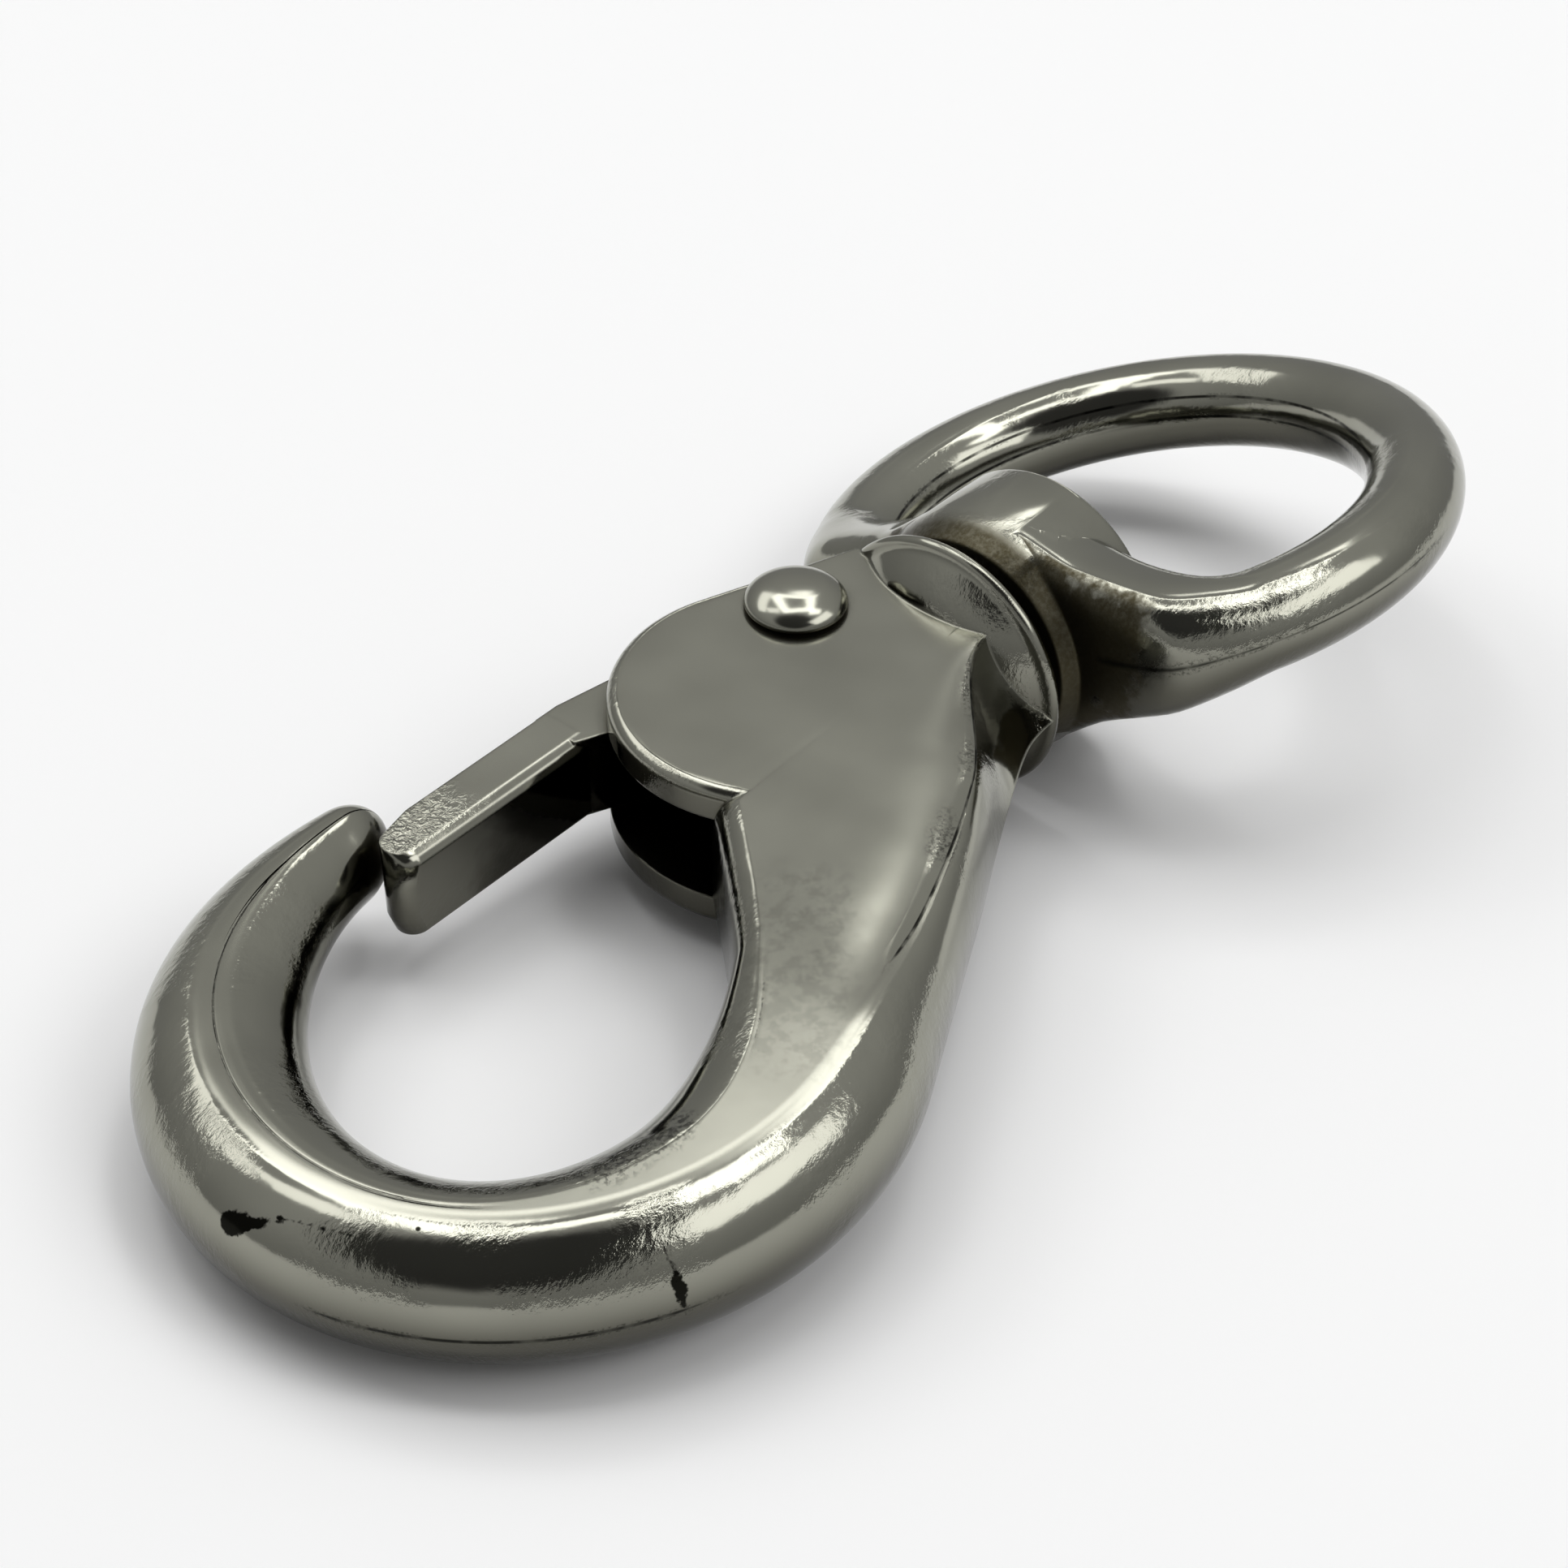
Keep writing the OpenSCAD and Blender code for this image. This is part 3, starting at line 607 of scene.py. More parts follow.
def map_range(tree, value, low, high, to_low=0.0, to_high=1.0):
    """A value carried smoothly from one range to another."""
    links = {"Value": value, "From Min": low, "From Max": high, "To Min": to_low, "To Max": to_high}
    return add_node(tree, "MapRange", links, interpolation_type="SMOOTHSTEP").outputs["Result"]


def mix_colour(tree, factor, a, b):
    """A colour between two others."""
    return add_node(tree, "Mix", {"Factor": factor, 6: a, 7: b}, data_type="RGBA").outputs[2]


def rgba(value):
    """A colour with its alpha."""
    return (*value, 1.0)


FLOAT, VECTOR, COLOUR = "NodeSocketFloat", "NodeSocketVector", "NodeSocketColor"
PIT_COLOUR = (0.008, 0.008, 0.006, 1.0)
FLAT_LEVEL = (0.955, 0.99)  # the normal's upward part from which a face counts as flat
UNDER_LEVEL = (0.5, -0.15)  # and over which painted shade darkens the plate underneath
CORNER_REACH, SHADE_REACH = 1.6, 14  # millimetres; the reaches of the occlusion that paints shade into corners and into recesses
MATERIALS = {}
# Casting faults, in the laid-down frame: the wide and the fine end of each nick, and its width.
NICKS = (((-43.6, -23.3, 7.3), (-43.6, -21.8, 10.0), 0.5), ((-43.6, -23.3, 7.3), (-43.4, -23.6, 5.4), 0.45),
         ((-57.7, -1.3, 7.6), (-56.3, -4.6, 9.1), 0.8), ((-56.4, -4.0, 9.05), (-54.6, -9.2, 9.6), 0.16))
# Rough patches: the two ends of each, its reach round them, the fineness of its blots, and how dark they are.
ROUGH_PATCHES = (((-42.3, -15.8, 11.0), (-37.5, -16.6, 11.2), 2.4, 2400.0, 0.75),
                 ((-18.5, -10.5, 13.3), (-27.5, -17.4, 12.7), 5.0, 800.0, 0.16))


def cast_skin_group():
    """Fine relief of a plated casting: slow waves, rough plate in patches, grain and a few deep pits."""
    group, start, end = new_group(
        "cast_skin", [("Place", VECTOR), ("Waves", FLOAT), ("Crumple", FLOAT), ("Grain", FLOAT)],
        [("Height", FLOAT), ("Pit Mask", FLOAT)])
    place = start["Place"]
    waves = times(group, noise(group, place, 260.0, 2.0, 0.45), start["Waves"])
    rough = noise(group, vector_node(group, "MULTIPLY", place, (1.0, 1.6, 1.0)), 900.0, 4.0, 0.65)
    patch = patches(group, place, (150.0, 1.0), 0.40, 0.62)
    crumple = times(group, rough, patch, start["Crumple"])
    grain = times(group, noise(group, place, 5200.0, 3.0, 0.6), start["Grain"])
    spots = add_node(group, "TexVoronoi", {"Vector": place, "Scale": 230.0}).outputs
    lone = map_range(group, axis(group, spots["Color"], "X"), 0.86, 0.90)
    group.links.new(plus(group, waves, crumple, grain), end["Height"])
    group.links.new(times(group, map_range(group, spots["Distance"], 0.05, 0.03), lone), end["Pit Mask"])
    return group


def plate_colour_and_shade_group():
    """Colour and roughness of worn nickel plate, with painted shade in recesses and underneath, and painted
    shade and the hub's dirt in corners.
    """
    group, start, end = new_group(
        "plate_wear",
        [("Place", VECTOR), ("Clean", COLOUR), ("Tarnish", COLOUR), ("Dirt", COLOUR), ("Shelter", FLOAT),
         ("Corner", FLOAT), ("Pit Mask", FLOAT), ("Gloss", FLOAT)],
        [("Color", COLOUR), ("Roughness", FLOAT)])
    cloud = noise(group, start["Place"], 120.0, 2.0, 0.4)
    speck = noise(group, start["Place"], 2600.0, 3.0, 0.7)
    bright = vector_node(group, "SCALE", start["Clean"], map_range(group, cloud, 0.15, 0.85, 0.90, 1.08))
    # painted shade: recesses and faces that look down are darkened towards the painted shade colour
    shade = mix_colour(group, start["Shelter"], bright, start["Tarnish"])
    # painted shade in corners and creases, and the hub's brown dirt, broken by specks
    edge = times(group, start["Corner"], map_range(group, speck, 0.30, 0.62, 0.88, 1.0))
    dirty_and_shaded = mix_colour(group, edge, shade, start["Dirt"])
    group.links.new(mix_colour(group, start["Pit Mask"], dirty_and_shaded, PIT_COLOUR), end["Color"])
    rough = plus(group, start["Gloss"], map_range(group, cloud, 0.15, 0.85, 0.0, 0.05))
    group.links.new(math_node(group, "ADD", rough, times(group, edge, 0.35), clamp=True), end["Roughness"])
    return group


def wrinkled_end(tree, place, facing):
    """Orange-peel plate on the top of the gate's end."""
    up = map_range(tree, axis(tree, facing, "Z"), 0.9, 0.97)
    zone = times(tree, map_range(tree, axis(tree, place, "X"), -0.0215, -0.0265), up)
    links = {"Vector": place, "Scale": 1500.0, "Detail": 3.0, "Distortion": 0.8}
    folds = add_node(tree, "TexNoise", links).outputs["Fac"]
    return times(tree, math_node(tree, "ABSOLUTE", math_node(tree, "SUBTRACT", folds, 0.5)), 16.0, zone)


def gate_painted_shade(tree, place, facing):
    """Painted shade on the gate's inner face, standing in for the shaded floor it reflects; strongest near its
    pivot.
    """
    inward = map_range(tree, axis(tree, facing, "Y"), -0.85, -0.97)
    near = plus(tree, axis(tree, place, "X"), drift(tree, place, 0.012, 180.0))
    return times(tree, inward, map_range(tree, near, -0.031, -0.020, 0.25, 1.0))


def hub_grime(tree, place, facing):
    """Brown dirt on the front of the eye's hub and legs, where the collar shelters them."""
    ahead = map_range(tree, axis(tree, facing, "X"), -0.22, -0.36)
    cloud = drift(tree, place, 0.005, 420.0, 4.0, 0.6)
    near = map_range(tree, plus(tree, axis(tree, place, "X"), cloud), 0.0175, 0.0165)
    side = math_node(tree, "ABSOLUTE", plus(tree, axis(tree, place, "Y"), cloud))
    thick = patches(tree, place, (900.0, 3.0, 0.6), 0.35, 0.6, 0.95, 1.0)
    return times(tree, ahead, near, map_range(tree, side, 0.0118, 0.0104), thick)


def segment(tree, place, start, end, ragged, taper=0.0):
    """Distance in millimetres from a short line, made ragged, and grown towards the line's end."""
    start, end = MM * Vector(start), MM * Vector(end)
    run = end - start
    out = vector_node(tree, "SUBTRACT", place, start)
    share = vector_node(tree, "DOT_PRODUCT", out, run)
    along = math_node(tree, "MULTIPLY", share, 1 / run.length_squared, True)
    away = vector_node(tree, "SUBTRACT", out, vector_node(tree, "SCALE", run, along))
    away = times(tree, vector_node(tree, "LENGTH", away), 1 / MM)
    return plus(tree, away, times(tree, along, taper), drift(tree, place, 2 * ragged, 1400.0, 3.0, 0.6))


def seam_lines(tree, place):
    """Dark fine seams of the casting, with loose dirt along the edge of the flat face."""
    kept = add_node(tree, "Attribute", attribute_type="GEOMETRY", attribute_name="seam")
    seam = kept.outputs["Fac"]
    faded = patches(tree, place, (420.0, 3.0, 0.6), 0.38, 0.56, 0.45, 0.95)
    line = times(tree, map_range(tree, seam, 0.45, 0.85), faded)
    loose = patches(tree, place, (3600.0, 4.0, 0.7), 0.46, 0.62, 0.0, 0.6)
    along = patches(tree, place, (160.0, 1.0), 0.42, 0.60)
    return math_node(tree, "MAXIMUM", line, times(tree, loose, along, map_range(tree, seam, 0.03, 0.35)))


def bow_marks(tree, place):
    """Nicks and rough patches on the hook's casting, and its seams."""
    dark = seam_lines(tree, place)
    for start, end, width in NICKS:
        away = segment(tree, place, start, end, 0.45, width)
        dark = math_node(tree, "MAXIMUM", dark, map_range(tree, away, width + 0.06, width - 0.1))
    for start, end, reach, scale, strength in ROUGH_PATCHES:
        zone = map_range(tree, segment(tree, place, start, end, reach / 3), reach, 0.4 * reach)
        blots = patches(tree, place, (scale, 4.0, 0.7), 0.44, 0.62, 0.0, strength)
        dark = math_node(tree, "MAXIMUM", dark, times(tree, zone, blots))
    return dark


def plated_metal(name, finish, skin, wear, waves=1.0, crumple=0.0, grain=1.0, gloss=0.0, round_r=0.25,
                 satin=0.0, wrinkle=None, shelter_more=None, grime=None, marks=None):
    """Nickel plate over a casting: smooth and satin on faces that look up, with painted shade underneath, in
    recesses and in corners.
    """
    material = bpy.data.materials.new(name)
    material.use_nodes = True
    tree = material.node_tree
    shader = tree.nodes["Principled BSDF"]
    coords = add_node(tree, "TexCoord").outputs
    place, facing = coords["Object"], coords["Normal"]
    level = axis(tree, facing, "Z")
    flat = map_range(tree, level, *FLAT_LEVEL)
    fades = (("Waves", waves, waves * 0.15), ("Crumple", crumple, 0.0), ("Grain", grain, 0.0))
    amounts = {key: map_range(tree, flat, 0.0, 1.0, here, there) for key, here, there in fades}
    relief = add_node(tree, "Group", {"Place": place, **amounts}, node_tree=skin).outputs
    # painted shade from occlusion: a short reach darkens corners and creases, a long reach darkens recesses,
    # and faces that look down are darkened too
    near, far = (add_node(tree, "AmbientOcclusion", {"Distance": reach * MM}, samples=8).outputs["AO"]
                 for reach in (CORNER_REACH, SHADE_REACH))
    corner, shelter = map_range(tree, near, 0.66, 0.30), map_range(tree, far, 0.78, 0.34)
    shelter = math_node(tree, "MAXIMUM", shelter, map_range(tree, level, *UNDER_LEVEL, 0.0, 0.8))
    if shelter_more:
        shelter = math_node(tree, "MAXIMUM", shelter, shelter_more(tree, place, facing))
    # the hub's brown dirt joins the painted corner shade
    if grime:
        corner = math_node(tree, "MAXIMUM", corner, grime(tree, place, facing))
    pit, height = relief["Pit Mask"], relief["Height"]
    if marks:
        pit = math_node(tree, "MAXIMUM", pit, marks(tree, place))
    if wrinkle:
        height = plus(tree, height, wrinkle(tree, place, facing))
    rough = finish.sheen + gloss
    # the plate's colour and roughness, with its painted shade in corners, recesses and underneath
    shaded_plate = add_node(tree, "Group", {
        "Place": place, "Clean": rgba(finish.nickel), "Tarnish": rgba(finish.tarnish),
        "Dirt": rgba(finish.dirt), "Shelter": shelter, "Corner": corner, "Pit Mask": pit,
        "Gloss": map_range(tree, flat, 0.0, 1.0, rough, rough + satin)}, node_tree=wear).outputs
    edge = add_node(tree, "Bevel", {"Radius": round_r * MM}, samples=6).outputs["Normal"]
    bump = add_node(tree, "Bump", {"Height": height, "Distance": 0.02 * MM, "Normal": edge})
    tree.links.new(bump.outputs["Normal"], shader.inputs["Normal"])
    tree.links.new(shaded_plate["Color"], shader.inputs["Base Color"])
    tree.links.new(shaded_plate["Roughness"], shader.inputs["Roughness"])
    shader.inputs["Metallic"].default_value = 1.0
    return material


def make_materials():
    """Builds the shared groups and the metals once."""
    if MATERIALS:
        return
    shared = bpy.context.scene.snap_finish, cast_skin_group(), plate_colour_and_shade_group()
    looks = {
        "nickel_hook_body": dict(waves=2.5, crumple=4.0, grain=0.06, satin=0.09, marks=bow_marks),
        "nickel_eye": dict(waves=3.0, crumple=3.0, grain=0.06, round_r=0.4, grime=hub_grime, marks=seam_lines),
        "nickel_gate": dict(waves=2.0, crumple=2.5, grain=0.1, satin=0.10, wrinkle=wrinkled_end,
                            shelter_more=gate_painted_shade),
        "nickel_rivet": dict(waves=2.5, grain=0.05, gloss=0.05),
        "bright_steel": dict(waves=0.5, grain=0.3, gloss=0.12),
    }
    for name, look in looks.items():
        MATERIALS[name] = plated_metal(name, *shared, **look)


# ---- pieces ----

def make_hook_body(form):
    """The hook's casting: a loft along the bow and spine, joined by the cheeks' lobe and the collar."""
    plans = []
    for i in range(1, 15):
        k = math.sin(math.pi / 2 * i / 15)
        plans.append((form.ray_plan(form.tip_end_a + form.TIP_ROUND_A * (1 - math.sqrt(1 - k * k))), k))
    start, steps = form.tip_end_a + form.TIP_ROUND_A, 180
    plans += [(form.ray_plan(mix(start, form.WALL_A, i / steps)), 1.0) for i in range(steps + 1)]
    plans += [(plan, 1.0) for plan in form.body_plans(16, 30)]
    piece = loft("hook_casting", [form.section(plan, k) for plan, k in plans],
                 marks=[form.seam_marks(plan[2]) for plan, _ in plans])
    cut(piece, cheeks(form), "UNION")

    r, depth, half = form.collar_r, form.flare_depth, form.cheek_half
    band, low, high = form.rim_band_w + 0.1, half - 0.2, r - 0.7
    profile = [(-depth - 4, 0), (-depth - 4, half - 0.6)]
    profile += [(mix(-depth, -band, (i / 14) ** 1.5), mix(low, high, i / 14)) for i in range(15)]
    profile += [(-band + x, r - drop) for x, drop in ((0.06, 0.42), (0.16, 0.18), (0.32, 0.05))]
    profile += [(-x, r - drop) for x, drop in ((0.4, 0), (0.22, 0.02), (0.08, 0.1), (0, 0.28), (0, r))]
    cut(piece, turned_solid("collar", profile), "UNION")

    room, tail_x, tail_y = form.gate_boss_r + 0.5, -form.flare_depth + 0.2, -4.0
    corner, lobe, pivot = form.wall_corner, form.lobe_c, form.pivot
    far = lobe[1] + form.lobe_r + 4
    outline = [corner + (0.4, 0.2), (lobe[0] + 2, -2.6), (pivot[0] - 2, tail_y), (tail_x, tail_y),
               (tail_x, pivot[1]), (pivot[0] + room, pivot[1]), (pivot[0] + room, far),
               (corner[0] - 3, far), (corner[0] - 3, corner[1] + 0.2)]
    cut(piece, prism("slot", outline, -form.slot_half, form.slot_half))
    low, _ = gate_end(form)
    left, top = -form.gate_end_r, form.gate_end_r + form.gate_seat_clear
    outline = [np.array(low) + turned(p, form.gate_end_a)
               for p in ((left, -8), (12, -8), (12, top), (left, top))]
    cut(piece, prism("seat", outline, -form.cheek_half, form.cheek_half))
    finish_piece(piece, form, "nickel_hook_body", "hook", "hook_body")


def cheeks(form):
    """The lobe with rounded rims over both cheeks; its open side sinks just under the flat faces."""
    half, edge, r = form.cheek_half + 0.0015, form.cheek_edge, form.lobe_r
    rim = [(half, r - edge), (half - 0.001, r - edge + 0.06)]
    rim += [(half - edge + edge * s, r - edge + edge * c) for c, s in quarter(8)[:-1]]
    points = []
    for k, (z, rr) in enumerate(rim):
        back = 1.6 if k < 2 else 0
        points += [(*p, s * z) for p in arc(rr, form.lobe_c, 144)
                   if p[1] > back - (5 if p[0] > form.lobe_c[0] else 3.8) for s in (-1, 1)]
    points += [(x, y, s * (half - drop)) for x in (-1, -0.4) for s in (-1, 1)
               for y, drop in ((-3, 0.02), (-1.4, 0), (8.1, 0), (8.9, 1.6))]
    return hull("cheeks", points)


def gate_end(form):
    """Centres of the two rounded corners of the gate's slanted end."""
    low = (form.gate_end_r - form.gate_reach, form.gate_inner_y + form.gate_end_r)
    rise = form.gate_t - 2 * form.gate_end_r
    return low, (low[0] + rise / math.tan(math.radians(form.gate_end_a)), low[1] + rise)


def make_gate(form):
    """The gate: tongue with a rounded upper edge, thinner tang, and boss with room for the spring."""
    low, high = gate_end(form)
    y0, y1, r = form.gate_inner_y, form.gate_inner_y + form.gate_t, form.gate_end_r
    half, bevel, nose, back = form.gate_half_h, form.gate_bevel, form.gate_nose, -form.gate_step_back

    def slice_points(z, inset, nose, trim=0.0):
        ends = [p for x, y in ((low[0], low[1] + inset), high) for p in arc(r - trim, (x + nose, y), 48)]
        return [(*p, z) for p in ends + [(back, y0 + inset + trim), (back, y1 - trim)]]

    soft = 0.25
    points = []
    for c, s in quarter(6):
        points += slice_points(-half + soft - soft * s, 0, nose, soft * (1 - c))
    for drop, inset in ((0, bevel + 0.15), (0.08, bevel - 0.05), (0.4 * bevel, 0.45 * bevel),
                        (bevel + 0.05, 0)):
        points += slice_points(half - drop, inset, nose, 0.1 * inset)
    points += slice_points(-half / 2, 0, 0) + slice_points(half / 2 - bevel, 0, 0)
    piece = hull("gate_casting", points)

    plan = arc(form.gate_boss_r, form.pivot, 96)
    plan += [(back + side, y) for side in (-1, 1) for y in (y0 + form.gate_step, y1 - 0.02)]
    cut(piece, hull("tang", [(*p, s * (half - 0.02)) for p in plan for s in (-1, 1)]), "UNION")
    room_half = (form.coil_h + 2 * form.wire_r + 0.3) / 2
    cut(piece, drum("bore", half + 1, form.bore_r, form.pivot))
    cut(piece, drum("recess", room_half, form.coil_r + form.wire_r + 0.3, form.pivot))
    x0, x1, y = -form.gate_boss_r - 0.3, form.spring_leg + 0.7, form.coil_r - form.wire_r
    outline = [form.pivot + turned(p, form.tang_a)
               for p in ((x0, y - 0.02), (x1, y - 0.02), (x1, y + 5), (x0, y + 5))]
    cut(piece, prism("leg_room", outline, -room_half, room_half))
    finish_piece(piece, form, "nickel_gate", "gate", "gate")


def make_eye(form):
    """The eye's casting: a loft round the ring and its legs, joined by the bored hub."""
    turns = [360 / EYE_RINGS * i for i in range(EYE_RINGS)]
    piece = loft("eye_casting", [form.eye_section(a) for a in turns], True, [form.eye_marks(a) for a in turns])
    front, rear, r, edge = form.swivel_gap, form.hub_rear, form.hub_r, 0.5
    profile = [(front, 0), (front, r - form.hub_front_drop), (front + form.hub_front_slope, r)]
    profile += [(rear - edge + edge * s, r - edge + edge * c) for c, s in quarter(5)] + [(rear, 0)]
    cut(piece, turned_solid("hub", profile), "UNION")
    bore_r = form.stud_r + form.run_clear
    cut(piece, turned_solid("bore", [(-1, 0), (-1, bore_r), (rear + 3, bore_r), (rear + 3, 0)], steps=64))
    finish_piece(piece, form, "nickel_eye", "eye", "swivel_eye", -form.eye_roll)


def make_rivet(form):
    """The rivet with a domed, slightly undercut head on both cheeks."""
    half, r, rim_h = form.cheek_half, form.rivet_head_r, 0.42
    side = [(half, form.rivet_r), (half, r - 0.5), (half + 0.14, r - 0.22), (half + 0.28, r - 0.05)]
    low, rise = half + rim_h, form.rivet_head_h - rim_h
    side += [(low + rise * s ** 1.12, r * c) for c, s in quarter(16)[:-1]] + [(low + rise, 0.0)]
    profile = [(-x, rr) for x, rr in reversed(side)] + side
    piece = turned_solid("rivet", profile, (*form.pivot, 0), "Z", 128)
    finish_piece(piece, form, "nickel_rivet", "hook", "gate_rivet")


def make_spring(form):
    """The torsion spring: one leg along the gate, the coil, and one leg to its seat in the body."""
    turns, leg_b_a, seat_clear = form.spring_turns, 225.0, 1.92
    seat_x = -form.flare_depth + 0.2
    reach = seat_x - seat_clear - form.pivot[0] - form.coil_r * direction(leg_b_a)[0]
    leg_b = reach / direction(leg_b_a + 90)[0]
    a0, a1 = form.tang_a + 90, leg_b_a + 360 * turns

    def coil(a):
        return np.array([*(form.coil_r * direction(a)), form.coil_h * ((a - a0) / (a1 - a0) - 0.5)])

    count = 72 * turns
    path = [(coil(a0) + form.spring_leg * np.array([*direction(form.tang_a), 0]), direction(a0))]
    path += [(coil(a), direction(a)) for a in (mix(a0, a1, i / count) for i in range(count + 1))]
    path += [(coil(a1) + leg_b * np.array([*direction(leg_b_a + 90), 0]), direction(leg_b_a))]
    rings = []
    for p, u in path:
        around = [direction(22.5 * i) for i in range(16)]
        rings.append([np.array([*form.pivot, 0]) + p + form.wire_r * np.array([-c * u[0], -c * u[1], s])
                      for c, s in around])
    finish_piece(loft("gate_spring_wire", rings), form, "bright_steel", "hook", "gate_spring")


def make_fasteners(form):
    """The rivet and the spring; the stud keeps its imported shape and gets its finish."""
    make_rivet(form)
    make_spring(form)
    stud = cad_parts["swivel_stud"]
    stud.data.materials.clear()
    stud.data.materials.append(MATERIALS["bright_steel"])


# ---- studio ----

LAMP_AWAY = 1.2  # metres
# Soft lamps, in degrees: azimuth and elevation, shift across and up, width and height. The four bars
# make a square frame overhead.
LAMPS = (
    ("side_panel", -72, 47, 0, 0, 42, 26, "panel_glow"),
    ("side_strip", -42, 70, 0, 0, 12, 14, "strip_glow"),
    ("low_panel", 98, 45, 0, 0, 38, 14, "panel_glow"),
    ("left_panel", 120, 60, 0, 0, 11, 16, "panel_glow"),
    ("frame_bar_0", 50, 71, -14, 0, 10, 37, "strip_glow"),
    ("frame_bar_1", 50, 71, 14, 0, 10, 37, "strip_glow"),
    ("frame_bar_2", 50, 71, 0, 14, 18, 9, "strip_glow"),
    ("frame_bar_3", 50, 71, 0, -14, 18, 8, "strip_glow"))
DARK_SIDE = (-148, 53)  # azimuth and elevation of the dark part of the room


def toward(azimuth, elevation):
    """The direction at an azimuth and an elevation."""
    (ca, sa), (ce, se) = direction(azimuth), direction(elevation)
    return Vector((ca * ce, sa * ce, se))


def make_floor(studio):
    """A plain pale floor under the hook."""
    bpy.ops.mesh.primitive_plane_add(size=6)
    floor = bpy.context.active_object
    floor.name = "floor"
    material = bpy.data.materials.new("plain_floor")
    material.use_nodes = True
    shader = material.node_tree.nodes["Principled BSDF"]
    shader.inputs["Base Color"].default_value = rgba(studio.floor)
    shader.inputs["Roughness"].default_value = 0.9
    floor.data.materials.append(material)


def make_world(studio):
    """Soft surroundings, brighter overhead, with one dark side."""
    world = bpy.data.worlds.new("studio")
    bpy.context.scene.world = world
    world.use_nodes = True
    tree = world.node_tree
    place = add_node(tree, "TexCoord").outputs["Generated"]
    glow = map_range(tree, axis(tree, place, "Z"), -0.05, 0.9, studio.low_glow, studio.high_glow)
    facing = vector_node(tree, "DOT_PRODUCT", place, toward(*DARK_SIDE))
    shade = map_range(tree, facing, 0.79, 0.885, 1.0, 0.1)
    tree.links.new(times(tree, glow, shade), tree.nodes["Background"].inputs["Color"])


def make_lamps(studio):
    """Soft panels and strips of light, all facing the hook."""
    for name, azimuth, elevation, across, up, width, height, glow in LAMPS:
        lamp = bpy.data.lights.new(name, "AREA")
        lamp.shape = "RECTANGLE"
        lamp.size, lamp.size_y = LAMP_AWAY * math.radians(width), LAMP_AWAY * math.radians(height)
        lamp.energy = getattr(studio, glow) * math.pi * lamp.size * lamp.size_y
        turn = toward(azimuth, elevation).to_track_quat("Z", "Y").to_matrix().to_4x4()
        shift = LAMP_AWAY * Vector((math.radians(across), math.radians(up), 1))
        new_object(name, lamp).matrix_world = turn @ Matrix.Translation(shift)


def make_camera(form, studio):
    """The camera, aimed in the hook's frame and laid down with it."""
    az, el = studio.azimuth, studio.elevation
    back = Vector((math.sin(az) * math.cos(el), -math.cos(az) * math.cos(el), math.sin(el)))
    right = Vector((math.cos(az), math.sin(az), 0))
    up = back.cross(right)
    c, s = math.cos(studio.roll), math.sin(studio.roll)
    right, up = right * c + up * s, up * c - right * s
    place = Vector((-studio.target_back, -0.14, 0)) + back * studio.distance
    rows = zip(Matrix((right, up, back)).transposed(), place)
    pose = Matrix([(*row, p) for row, p in rows] + [(0, 0, 0, 1)])
    camera = bpy.data.cameras.new("camera")
    camera.lens, camera.sensor_width = studio.lens, 36
    camera.clip_start, camera.clip_end = 0.01, 20
    holder = new_object("camera", camera)
    location, rotation, _ = (form.lie @ pose).decompose()
    holder.matrix_world = Matrix.LocRotScale(location, rotation, None)
    bpy.context.scene.camera = holder


def make_stage(form, studio):
    """Floor, surroundings, soft lights and camera."""
    make_floor(studio)
    make_world(studio)
    make_lamps(studio)
    make_camera(form, studio)
    bpy.context.scene.view_settings.view_transform = "Standard"


# ---- operators, panel and registration ----

def build(context, make):
    """Runs one step of the hook with the sizes that are set."""
    make_materials()
    make(HookForm(context.scene.snap_sizes))
    return {"FINISHED"}


class SNAP_OT_hook_body(bpy.types.Operator):
    """Makes the hook's casting: bow, spine, cheeks and collar"""
    bl_idname = "snap.hook_body"
    bl_label = "Hook body"

    def execute(self, context):
        return build(context, make_hook_body)


class SNAP_OT_gate(bpy.types.Operator):
    """Makes the gate with its bevelled tongue and pivot boss"""
    bl_idname = "snap.gate"
    bl_label = "Gate"

    def execute(self, context):
        return build(context, make_gate)


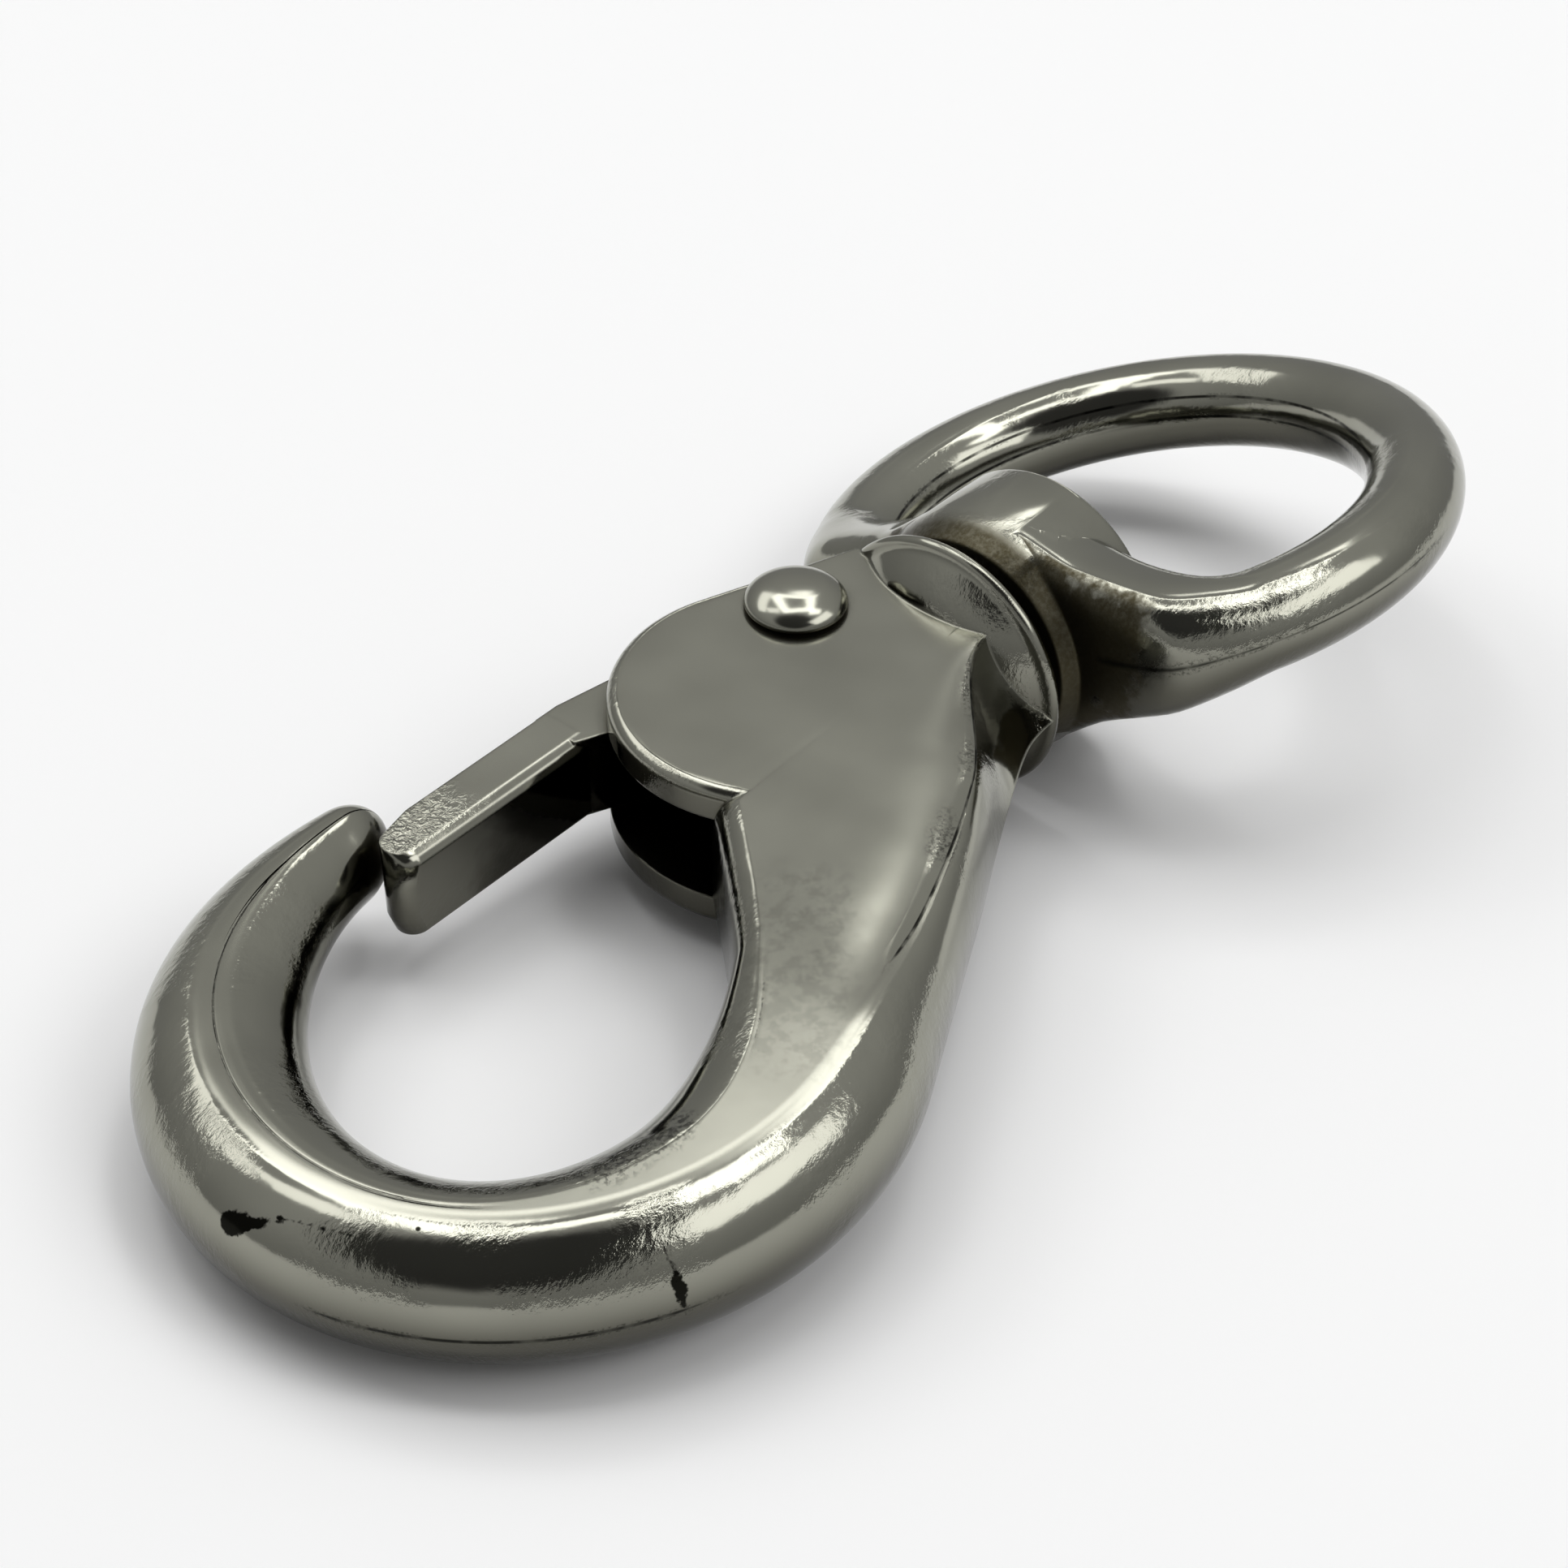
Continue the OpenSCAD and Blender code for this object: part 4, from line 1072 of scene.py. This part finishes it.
class SNAP_OT_eye(bpy.types.Operator):
    """Makes the round eye with its hub"""
    bl_idname = "snap.eye"
    bl_label = "Swivel eye"

    def execute(self, context):
        return build(context, make_eye)


class SNAP_OT_fasteners(bpy.types.Operator):
    """Makes the rivet and the gate's spring, and finishes the swivel stud"""
    bl_idname = "snap.fasteners"
    bl_label = "Rivet, spring and stud"

    def execute(self, context):
        return build(context, make_fasteners)


class SNAP_OT_stage(bpy.types.Operator):
    """Makes the floor, the soft lights and the camera"""
    bl_idname = "snap.stage"
    bl_label = "Studio"

    def execute(self, context):
        make_stage(HookForm(context.scene.snap_sizes), context.scene.snap_studio)
        return {"FINISHED"}


class SNAP_PT_panel(bpy.types.Panel):
    """Lists the steps that build the snap hook"""
    bl_label = "Swivel snap hook"
    bl_idname = "SNAP_PT_panel"
    bl_space_type = "VIEW_3D"
    bl_region_type = "UI"
    bl_category = "Snap hook"

    def draw(self, context):
        for step in STEPS:
            self.layout.operator(step.bl_idname)
        for group in (context.scene.snap_finish, context.scene.snap_studio, context.scene.snap_sizes):
            box = self.layout.box()
            for key in type(group).__annotations__:
                box.prop(group, key)


STEPS = (SNAP_OT_stage, SNAP_OT_hook_body, SNAP_OT_gate, SNAP_OT_eye, SNAP_OT_fasteners)
CLASSES = (SnapSizes, SnapFinish, StudioSettings) + STEPS + (SNAP_PT_panel,)


def register():
    """Adds the classes and their settings."""
    for cls in CLASSES:
        bpy.utils.register_class(cls)
    bpy.types.Scene.snap_sizes = bpy.props.PointerProperty(type=SnapSizes)
    bpy.types.Scene.snap_finish = bpy.props.PointerProperty(type=SnapFinish)
    bpy.types.Scene.snap_studio = bpy.props.PointerProperty(type=StudioSettings)


def unregister():
    """Takes them away again."""
    del bpy.types.Scene.snap_sizes, bpy.types.Scene.snap_finish, bpy.types.Scene.snap_studio
    for cls in reversed(CLASSES):
        bpy.utils.unregister_class(cls)


def main():
    """Makes the stage and every piece."""
    register()
    bpy.ops.snap.stage()
    bpy.ops.snap.hook_body()
    bpy.ops.snap.gate()
    bpy.ops.snap.eye()
    bpy.ops.snap.fasteners()


if __name__ == "__main__":
    main()
